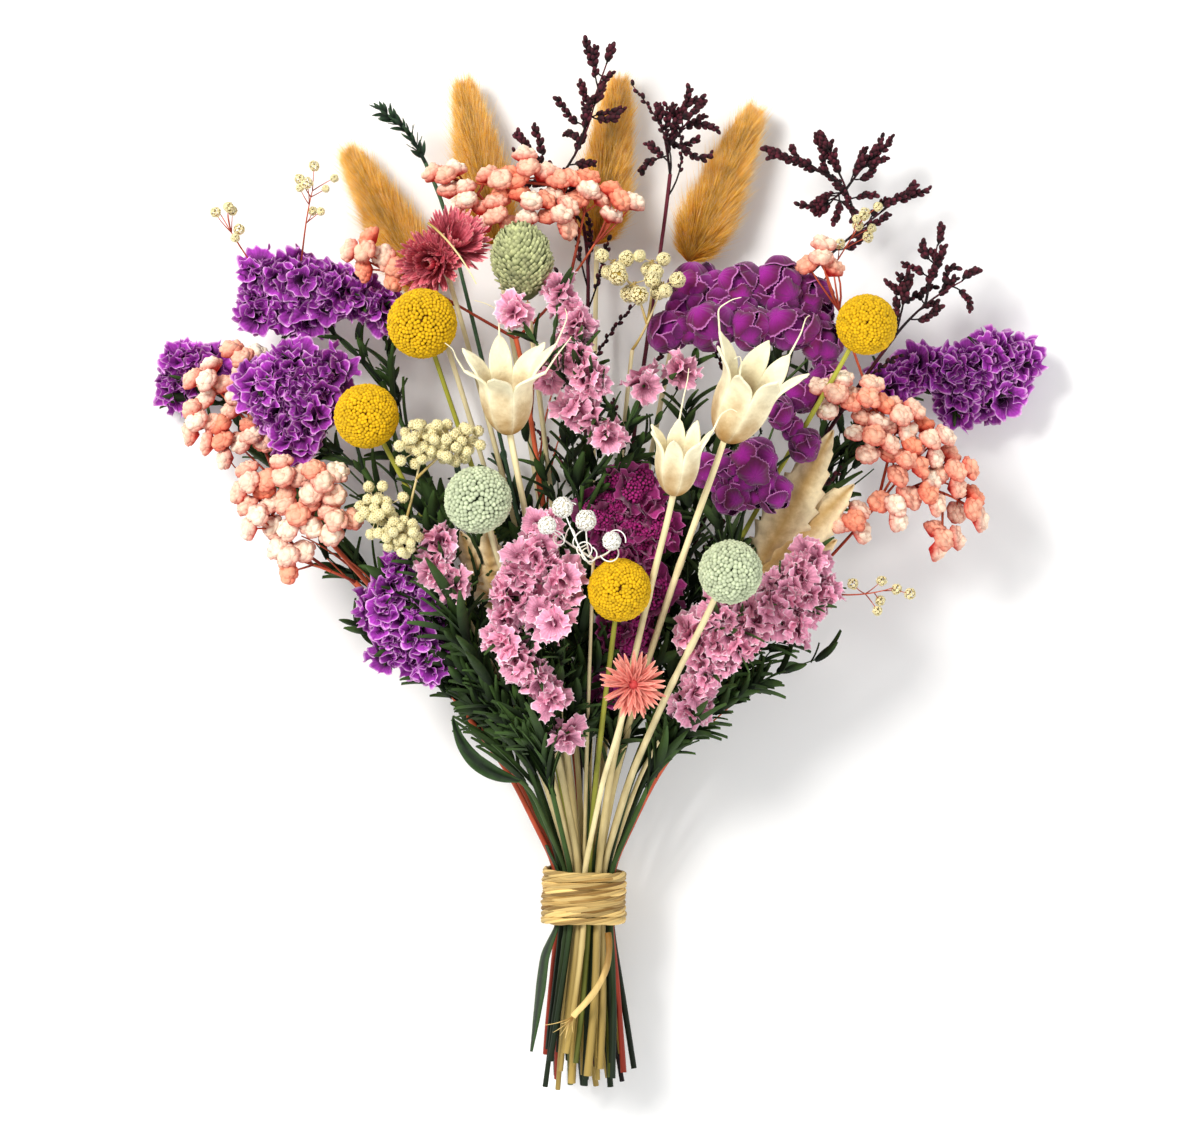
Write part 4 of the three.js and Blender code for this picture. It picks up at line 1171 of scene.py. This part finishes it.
for number in (1, 2):
    node = f"magenta_globe_{number}"
    line, tufts = spray_of(node)
    stalks, routes = spray_stalks(line, tufts, SPRAY_STEM, 0.0008)
    stalks.append(green_blades(line, 14, 0.014, 0.030, width=0.07, slant=0.3))
    stalks += side_twigs(line, 18, 0.025, 0.070, leaves=9, slant=0.42)
    build(node + "_stalks", stalks, green_skin, node)
    heads = []
    for middle, radius in filled_in(tufts, 0.003):
        heads.append(round_core(middle, radius * 0.6, 0.2))
        spots = sphere_spots(LOBES_PER_TUFT)[rng.permutation(LOBES_PER_TUFT)]
        spots = unit(spots + rng.normal(0, 0.16, spots.shape))
        ways = unit(spots + rng.normal(0, 0.22, spots.shape))
        for spot, way in zip(spots, ways):
            place = middle + spot * radius * rng.uniform(0.46, 0.78)
            size = radius * rng.uniform(0.50, 0.68)
            heads.append(stamp(lobe_shape(), place[None], way[None], size))
    build(node + "_lobes", heads, globe_skin, node)

# ---------------------------------------------------------------- Velvet plume
# A deep magenta plume inside the bunch. Folded velvet crests stand over a pile of tiny
# bead-like flowers, painted almost black between them as painted shade.
PLUME_BEAD = 0.00075
PLUME_BEADS = 110  # on each small cushion
CUSHIONS = 9  # in each tuft
CREST = 0.0080
CREASES = ((3, 0.8), (5, 0.5), (11, 0.3))

# Beaded nap: matt, painted nearly black between the beads as painted shade.
plume_skin = plant_finish(
    "beaded_velvet", 0x36021C, 0xA42474, roughness=0.85, mottle=2.0, relief=0.4, spread=0.4,
    turn_at=0.5,
)
line, tufts = spray_of("velvet_plume")
stalks, routes = spray_stalks(line, tufts, SPRAY_STEM, 0.001)
stalks.append(green_blades(line, 16, 0.016, 0.034, width=0.07, slant=0.3))
stalks += side_twigs(line, 26, 0.030, 0.100, leaves=9, slant=0.32)
build("velvet_plume_stalks", stalks, green_skin, "velvet_plume")
# Folded nap: dark and soft, with a pale line along each crest and near black deep in each fold as painted
# shade.
fold_skin = plant_finish(
    "velvet_fold", 0x2E0218, 0x98206C, roughness=0.9, mottle=0.9, relief=0.25, spread=0.35,
    turn_at=0.5, sheen=0.3, rim=0xC868A4, rim_at=0.93,
)
crests = [ruffle_shape(CREASES, 0.34, 0.6, teeth=0.05) for _ in range(4)]
pile = []
folds = []
for middle, radius in filled_in(tufts, 0.005):
    for spot in sphere_spots(CUSHIONS):
        centre = middle + spot * radius * 0.6
        reach = radius * rng.uniform(0.38, 0.52)
        pile.append(round_core(centre, reach - PLUME_BEAD, 0.2))
        pile.append(packed_ball(centre, reach, PLUME_BEADS, PLUME_BEAD, blob_shape(1, 1.3), 0.2))
    folds += filled_tuft(middle, radius * 1.15, CUSHIONS, CREST, crests, (0, 0.2, 0.8), spread=0.5)
build("velvet_plume_pile", pile, plume_skin, "velvet_plume")
build("velvet_plume_folds", folds, fold_skin, "velvet_plume")

# ---------------------------------------------------------------- Cerise flower
# One large flower of many narrow papery strips in two nested fans, crimson, darker in the folds as
# painted shade, pink along their edges as painted highlight and cream at the tips, with a thin dry stalk
# lying across it.
# Dyed papery strip: matt crimson and cream at its tip, darker down its fold as painted shade and pinker
# along its edges as painted highlight.
cerise_skin = plant_finish(
    "crimson_strip", 0xA60E2E, 0xFF8E9E, roughness=0.7, mottle=1.5, relief=0.3, spread=0.3,
    turn_at=0.52, rim=0xFFE6CC, rim_at=0.88,
)


# For each ring of strips, from the outside in: how many, their reach and their tilt.
FRONT_FAN = ((80, 0.0135, 0.25), (80, 0.0132, 0.7), (64, 0.0115, 1.2), (44, 0.0095, 2.2))
BACK_FAN = ((70, 0.0135, 0.15), (64, 0.0125, 0.6), (50, 0.0115, 1.3))
FLOWER_STEM_WIDEST = 0.004


def strip_shape(curl, fold=0.35, width=0.09):
    """A narrow folded strip along Z that curls towards +X, with a pointed end."""
    rows = 10
    v = np.linspace(0, 1, rows)
    half = np.sin(np.pi * np.clip(v * 0.8 + 0.18, 0, 1)) ** 0.6
    u = np.array([-1.0, 0.0, 1.0])
    x = curl * (v**2)[:, None] + fold * 0.09 * np.abs(u)[None] * half[:, None]
    y = width * half[:, None] * u[None]
    z = np.broadcast_to(v[:, None], y.shape)
    verts = np.stack([x, y, z], -1).reshape(-1, 3)
    # Each strip is paler along its two edges than down its folded middle, as painted highlight and painted
    # shade, and takes the rim colour at its tip.
    along = np.repeat(v, 3) * 0.55 + np.tile([0.32, 0.0, 0.32], rows)
    return verts, grid_faces(rows, 3, False), np.where(np.repeat(v, 3) > 0.93, 1.0, along)


def fan(middle, facing, rings, shape):
    """Strips that stand out round a middle, each ring steeper than the one outside it."""
    side, over = basis(facing)
    made = []
    for count, reach, tilt in rings:
        turn = ring_angles(count) + rng.normal(0, 0.08, count)
        out = swung(turn, side, over)
        ways = unit(out + facing * tilt + rng.normal(0, 0.05, out.shape))
        sizes = reach * rng.uniform(0.88, 1.05, count)
        spin = facing_spin(ways, np.broadcast_to(facing, ways.shape))
        made.append(stamp(shape, middle + out * 0.0014, ways, sizes, spin=spin))
    return made


def flower_parts(node, head, stop):
    """The middle of a flower that is one CAD node with its stem, and that stem's line. The head
    takes up the top of the node, and the line stops short of its middle."""
    points = vertices_of(node)
    flower = points[points[:, 1] > points[:, 1].max() - head]
    centre = (flower.min(0) + flower.max(0)) / 2
    line = line_of(node, FLOWER_STEM_WIDEST, steps=60)
    return centre, line[line[:, 1] < centre[1] - stop]


centre, line = flower_parts("cerise_flower", head=0.034, stop=0.012)
across = twig(centre + (-0.005, 0.012, 0.013), centre + (0.014, -0.012, 0.012), 0.0005, tint=0.9)[0]
stalks = stalk(np.vstack([line, centre - (0, 0, 0.004)]), SPRAY_STEM) + across
build("cerise_flower_stalk", stalks, straw_skin, "cerise_flower")
strips = [round_core(centre - (0, 0, 0.003), 0.0045, 0.1)]
front, front_facing = centre + (-0.0035, -0.003, -0.001), unit(np.array([-0.25, -0.1, 1.0]))
back, back_facing = centre + (0.0045, 0.004, -0.002), unit(np.array([0.35, 0.5, 0.9]))
strips += fan(front, front_facing, FRONT_FAN, strip_shape(curl=0.42))
strips += fan(back, back_facing, BACK_FAN, strip_shape(curl=0.35))
build("cerise_flower_strips", strips, cerise_skin, "cerise_flower")

# ---------------------------------------------------------------- Coral star flower
# A small flower of pointed coral-pink strips, folded along their middles, that stand out all
# round like a star on a straw-coloured stalk.
STAR_FAN = ((26, 0.0120, 0.05), (24, 0.0116, 0.4), (16, 0.0105, 0.85), (8, 0.008, 1.8))

# Dyed papery strip: soft coral pink, paler at its tip.
star_skin = plant_finish(
    "coral_strip", 0xD23A40, 0xFBA894, roughness=0.7, mottle=1.5, relief=0.3, spread=0.2,
    turn_at=0.35, sheen=0.2, rim=0xFFE6D4, rim_at=0.93,
)
node = "coral_star_flower"
centre, line = flower_parts(node, head=0.024, stop=0.013)
star_stalk = stalk(np.vstack([line, centre - (0, 0, 0.002)]), SPRAY_STEM)
build("coral_star_stalk", star_stalk, straw_skin, node)
strips = [round_core(centre, 0.0022, 0.1)]
shape = strip_shape(curl=0.02, fold=0.9, width=0.085)
strips += fan(centre, np.array([0.05, 0.0, 1.0]), STAR_FAN, shape)
build("coral_star_strips", strips, star_skin, node)

# ---------------------------------------------------------------- Dark caspia
# Fine wiry sprays, almost black. Tiny burgundy buds are set all round every side twig and crowd
# towards its tip.
CASPIA_STEM = 0.0009
CASPIA_TWIG = 0.0004
CASPIA_SPURS = (0.3, 0.42, 0.54, 0.66, 0.78, 0.9)  # where spurs leave a branch, as shares of it
BUD_STEPS = 24
BUD_TURN = 2.4  # each bud stands this angle on from the last
BUD_WIDTH = 0.3  # half a bud's width over its length

# Tiny dry bud: matt, red-black.
caspia_skin = plant_finish(
    "burgundy_bud", 0x16060A, 0x5E1C2C, roughness=0.75, mottle=1.5, relief=0.3, spread=0.5,
    turn_at=0.7,
)


def budded(route, count, bud, size, spread=0.6, since=3):
    """Small buds all round a twig, leaning towards its tip. The first ones, up to since, are left
    out."""
    line = smooth_line(route, BUD_STEPS)
    along = unit(np.gradient(line, axis=0))
    pick = np.linspace(since, BUD_STEPS - 1, count).astype(int)
    side, over = basis(along[pick])
    turn = np.arange(count) * BUD_TURN + rng.uniform(0, 6)
    out = swung(turn, side, over)
    ways = unit(along[pick] + out * spread)
    return stamp(bud, line[pick], ways, size * rng.uniform(0.75, 1.2, count))


def bud_shape():
    """A long bud that stands on its root."""
    verts, faces, along = blob_shape(2)
    verts = np.stack([verts[:, 0] * BUD_WIDTH, verts[:, 1] * BUD_WIDTH, (verts[:, 2] + 1) * 0.5], -1)
    return verts, faces, along


for number in range(1, 5):
    node = f"dark_caspia_{number}"
    line, tufts = spray_of(node)
    chunks, routes = spray_stalks(line, tufts, CASPIA_STEM, 0.0006)
    buds = []
    upper = smooth_line(line, 40)[16:]
    for _ in range(10):
        start = upper[rng.integers(0, len(upper))]
        way = unit(unit(upper[-1] - upper[0]) + rng.normal(0, 0.5, 3) * (1, 0.3, 0.3))
        end = start + way * rng.uniform(0.020, 0.042)
        made, side_twig = twig(start, end, CASPIA_TWIG, count=10, wobble=0.06)
        chunks += made
        buds.append(budded(side_twig, 16, bud_shape(), 0.0027, since=7))
    for (middle, _), route in zip(tufts, routes):
        ahead = unit(middle - route[0])
        made, leader = twig(middle, middle + ahead * 0.007, CASPIA_TWIG, count=7)
        chunks += made
        buds.append(budded(leader, 14, bud_shape(), 0.0032))
        for share in CASPIA_SPURS:
            start = route[int(share * (len(route) - 1))]
            out = unit(ahead + rng.normal(0, 0.6, 3) * (1, 1, 0.4))
            end = start + out * rng.uniform(0.009, 0.017)
            made, side_twig = twig(start, end, CASPIA_TWIG * 0.9, count=8, wobble=0.1)
            chunks += made
            buds.append(budded(side_twig, 14, bud_shape(), 0.0030, since=6))
    build(node + "_twigs", chunks, caspia_skin, node)
    build(node + "_buds", buds, caspia_skin, node)

# ---------------------------------------------------------------- Rosemary sprig
# A dark green sprig that leans out of the bunch. Short stiff leaves stand all round it up to its
# tip, and softer side twigs fill the bunch below.
LEADER_STEPS = 24
NEEDLE = 0.0062

# Stiff leaf: matt dark green, greyer towards its point.
needle_skin = plant_finish(
    "green_needle", 0x0E1E12, 0x3C5A3C, roughness=0.65, mottle=2.0, relief=0.3, spread=0.4,
    turn_at=0.6,
)
node = "rosemary_sprig"
line, tufts = spray_of(node)
farthest = max(tufts, key=lambda t: np.linalg.norm(t[0] - line[-1]))[0]
end = farthest + unit(farthest - line[-1]) * 0.006
leader = smooth_line(np.array([line[-1], (line[-1] + end) / 2 + (0.002, 0.002, 0), end]), LEADER_STEPS, 2)
chunks = stalk(line, 0.0009, joints=1) + tube(leader, np.linspace(0.0008, 0.0003, LEADER_STEPS), 6)
chunks += side_twigs(line[: len(line) * 3 // 5], 14, 0.025, 0.055, leaves=9, slant=0.45)
leafy = [budded(leader, 44, scale_shape(1, 0.15, 0.3, -0.15, 5, 3), NEEDLE, 0.85, since=2)]
build("rosemary_twigs", chunks, needle_skin, node)
build("rosemary_needles", leafy, needle_skin, node)

# ---------------------------------------------------------------- Cream yarrow, cream balls and white buds
# Tiny cream florets on straw-coloured stalks, in the lacy heads of the yarrow or in firm small
# balls, and white buds on pale stalks that curl like tendrils.
# Dry florets: chalky cream, ochre at their feet and middles, partly their own colour and partly painted
# shade in the gaps.
cream_skin = plant_finish(
    "cream_floret", 0xB4963C, 0xFCF2C0, roughness=0.85, mottle=1.2, relief=0.3, spread=0.14,
    turn_at=0.38,
)
# Bleached bud: chalky white.
white_skin = plant_finish(
    "white_bud", 0xE6DEC4, 0xFFFFFA, roughness=0.7, mottle=1.5, relief=0.3, spread=0.1,
    turn_at=0.35,
)
FLORET_LOBES = 5
# The tube flower's rows: height, reach, how lobed it is, and how far along its colour lies.
FLORET_ROWS = (
    (0, 0.42, 0, 0.0),
    (0.55, 0.6, 0.05, 0.35),
    (0.95, 0.95, 0.28, 1.0),
    (0.8, 0.42, 0.1, 0.6),
    (0.5, 0.05, 0, 0.1),
)


def floret_shape():
    """A tiny tube flower: a short tube with a lobed mouth."""
    sides = FLORET_LOBES * 2
    turn = ring_angles(sides)
    rows = []
    for height, reach, lobe, _ in FLORET_ROWS:
        r = reach * (1 + lobe * np.cos(FLORET_LOBES * turn))
        z = height + lobe * 0.4 * np.cos(FLORET_LOBES * turn)
        rows.append(np.stack([r * np.cos(turn), r * np.sin(turn), np.broadcast_to(z, r.shape)], -1))
    along = np.repeat([row[3] for row in FLORET_ROWS], sides)
    return np.concatenate(rows), grid_faces(len(rows), sides, True), along


for node, size, count in (("cream_yarrow", 0.0010, 34), ("cream_balls", 0.0008, 60)):
    lacy = node == "cream_yarrow"
    line, tufts = spray_of(node)
    chunks, routes = spray_stalks(line, tufts, 0.001, 0.0006)
    heads = []
    for middle, radius in tufts:
        for spot in sphere_spots(30 if lacy else 4):
            centre = middle + spot * radius * (rng.uniform(0.5, 1.35) if lacy else rng.uniform(0.8, 1.3))
            reach = radius * (0.24 if lacy else rng.uniform(0.42, 0.62))
            chunks += twig(middle - spot * radius * 0.3, centre, 0.0003, count=4)[0]
            heads.append(round_core(centre, reach * 0.7, 0.4))
            heads.append(packed_ball(centre, reach, count, size, floret_shape(), 0.1))
    build(node + "_stalks", chunks, straw_skin, node)
    build(node + "_florets", heads, cream_skin, node)

# Loose sprigs of the same cream florets stand out between the larger flowers.
# Each has the spray that it grows beside, its direction, its reach and its number of heads.
SPRIGS = (
    ("violet_statice_1", (0.15, 1.0, 0.05), 0.034, 8),
    ("violet_statice_1", (-0.55, 0.85, 0.0), 0.030, 6),
    ("magenta_globe_1", (0.55, 0.85, 0.1), 0.038, 8),
    ("pink_statice_3", (0.95, 0.05, -0.25), 0.030, 6),
)
sprigs = []
buds = []
for host, direction, reach, count in SPRIGS:
    way = np.array(direction)
    start = max(tufts_of(host), key=lambda t: t[0] @ way)[0]
    made, route = twig(start, start + unit(way) * reach, 0.0004)
    sprigs += made
    for _ in range(count):
        fork = route[rng.integers(len(route) // 2, len(route))]
        end = fork + unit(unit(way) + rng.normal(0, 0.6, 3) * (1, 1, 0.4)) * rng.uniform(0.005, 0.011)
        sprigs += twig(fork, end, 0.00025, count=5)[0]
        buds.append(packed_ball(end, rng.uniform(0.0014, 0.0024), 26, 0.0007, floret_shape(), 0.1))
build("cream_sprig_stalks", sprigs, wire_skin, "cream_balls")
build("cream_sprig_buds", buds, cream_skin, "cream_balls")

CURL_STEPS = 26
node = "white_curl_buds"
line, tufts = spray_of(node)
build("white_curl_stalk", stalk(line, 0.0008, joints=1), straw_skin, node)
chunks = []
heads = []
for middle, radius in tufts:
    made, route = twig(line[-1], middle, 0.0005, wobble=0.16, count=16)
    chunks += made
    heads.append(round_core(middle, radius * 0.8, 0.6))
    heads.append(packed_ball(middle, radius, 90, 0.0008, floret_shape(), 0.06))
    for _ in range(2):
        turn = np.linspace(0, rng.uniform(3, 6), CURL_STEPS)
        start = route[rng.integers(6, 15)]
        curl = np.linspace(0.0016, 0.0042, CURL_STEPS)
        way = unit(rng.normal(0, 1, 3) * (0.5, 0.5, 1))
        side, over = basis(way)
        path = start + curl[:, None] * swung(turn, side, over) - curl[0] * side
        rise = np.linspace(0, 0.004, CURL_STEPS)[:, None]
        chunks += tube(path + way * rise, 0.00028, 5, 0.8)
build("white_curl_stalks", chunks, white_skin, node)
build("white_curl_heads", heads, white_skin, node)

# ---------------------------------------------------------------- Leaves
# Beige dried leaves with toothed edges, one dark green leaf that has curled up as it dried, and
# a wide dark blade that lies against the cut stems below the tie.
# Dried leaf: matt papery beige, paler at its edge.
beige_skin = plant_finish(
    "dried_beige_leaf", 0xC09A5C, 0xF4E0B4, roughness=0.7, mottle=3.0, relief=0.4, spread=0.22,
    turn_at=0.4,
)
# Leaf that dried green: dark and a little less matt than paper.
green_leaf_skin = plant_finish(
    "dried_green_leaf", 0x101E0C, 0x2F4A20, roughness=0.6, mottle=3.0, relief=0.5, spread=0.3,
    turn_at=0.5,
)


LEAVES_APART = 16  # degrees between two leaves, seen from their fork
TOOTH_BITE = 0.3
LEAF_RIPPLE = 0.0007
LEAF_WIDTHS = {"beige_leaf_right": 0.019, "beige_leaf_left": 0.013}
CURLED_WIDTH = 0.0062
ARCH_STEPS = 20
LEAF_STEM_WIDEST = 0.0045


def tips_of(node, fork):
    """The tips of the leaves of a CAD leaf spray, seen from its fork."""
    points = vertices_of(node)
    away = points - fork
    away = away[points[:, 1] > fork[1] + 0.006]
    found = []
    while len(away):
        far = np.linalg.norm(away, axis=1)
        if found and far.max() < 0.5 * np.linalg.norm(found[0] - fork):
            break
        best = away[far.argmax()]
        found.append(fork + best)
        same = unit(away) @ unit(best) > math.cos(math.radians(LEAVES_APART))
        away = away[~same]
    return found


def leaf(middle_line, width, teeth, tint):
    """A leaf blade along a line, with a pressed-in midrib, side veins and a toothed edge."""
    rows, columns = 80, 11
    line = smooth_line(np.asarray(middle_line, float), rows, 2)
    along = unit(np.gradient(line, axis=0))
    side = unit(np.cross(along, (0, 0, 1)))
    over = np.cross(side, along)
    v, u = np.linspace(0, 1, rows), np.linspace(-1, 1, columns)
    tooth = 1 + (TOOTH_BITE * (v * teeth % 1) ** 1.5 - 0.1 if teeth else 0 * v)
    broad = width / 2 * np.sin(np.pi * v**0.8) ** 0.75
    outer = np.clip((np.abs(u) - 0.6) / 0.4, 0, 1)
    half = broad[:, None] * u[None] * (1 + (tooth[:, None] - 1) * outer[None])
    lift = -0.3 * np.abs(half) + 0.0003 * np.sin((v[:, None] * teeth - np.abs(u)[None] * 0.8) * 2 * np.pi)
    lift = lift + LEAF_RIPPLE * np.sin(v[:, None] * 11 + u[None] * 2.5)
    verts = line[:, None] + half[..., None] * side[:, None] + lift[..., None] * over[:, None]
    colours = coloured(np.full(rows * columns, tint), np.tile(np.abs(u), rows))
    return (verts.reshape(-1, 3), grid_faces(rows, columns, False), colours)


def bent(start, end, lift):
    """A line from start to end that arches by a share of its length."""
    t = np.linspace(0, 1, ARCH_STEPS)[:, None]
    bow = np.array([0, 0, 1.0]) * np.linalg.norm(end - start) * lift
    return start * (1 - t) + end * t + bow * 4 * t * (1 - t)


def thicken(piece, amount):
    """Gives a sheet its thickness."""
    piece.modifiers.new("thickness", "SOLIDIFY").thickness = amount


for node, width in LEAF_WIDTHS.items():
    line = line_of(node, LEAF_STEM_WIDEST, steps=60)
    tips = tips_of(node, line[-1])
    build(node + "_stalk", stalk(line, 0.001), straw_skin, node)
    blades = [leaf(bent(line[-1], t, 0.12), width, 9, tint=rng.uniform(0.3, 1)) for t in tips]
    thicken(build(node + "_blades", blades, beige_skin, node), 0.0004)

node = "curled_leaf"
line = line_of(node, LEAF_STEM_WIDEST, steps=60)
tip = tips_of(node, line[-1])[0]
build("curled_leaf_stalk", stalk(line, 0.001), green_skin, node)
corner = np.array([tip[0] + 0.004, line[-1][1] + 0.004, (tip[2] + line[-1][2]) / 2])
t = np.linspace(0, 1, ARCH_STEPS)[:, None]
hook = line[-1] * (1 - t) ** 2 + corner * 2 * t * (1 - t) + tip * t**2
curled = [leaf(hook, CURLED_WIDTH, 0, tint=0.6)]
thicken(build("curled_leaf_blade", curled, green_leaf_skin, node), 0.0004)

# The low blade: its cut across the bunch gives its middle and width at every height.
BLADE_ROWS = 46
BLADE_COLUMNS = 7
BLADE_INSET = 0.0005
blade_low, blade_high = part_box("low_blade_leaf")
cuts = np.linspace(blade_high.y - BLADE_INSET, blade_low.y + BLADE_INSET, BLADE_ROWS)
rows = [slice_middle("low_blade_leaf", y) for y in cuts]
middles = smooth_line(np.array([middle for middle, _ in rows]), BLADE_ROWS, 2)
halves = np.array([half for _, half in rows]) * 0.94
out = unit((middles - np.array([neck[0], 0, neck[2]])) * (1, 0, 1))
across = np.stack([-out[:, 2], 0 * out[:, 0], out[:, 0]], -1)
u = np.linspace(-1, 1, BLADE_COLUMNS)
dip = (0.12 * halves[:, None] * np.abs(u)[None])[..., None] * out[:, None]
verts = middles[:, None] + halves[:, None, None] * u[None, :, None] * across[:, None] - dip
colours = coloured(np.full(BLADE_ROWS * BLADE_COLUMNS, 0.6), np.tile(np.abs(u), BLADE_ROWS))
sheet = (verts.reshape(-1, 3), grid_faces(BLADE_ROWS, BLADE_COLUMNS, False), colours)
thicken(build("low_blade", [sheet], green_leaf_skin, "low_blade_leaf"), 0.0006)
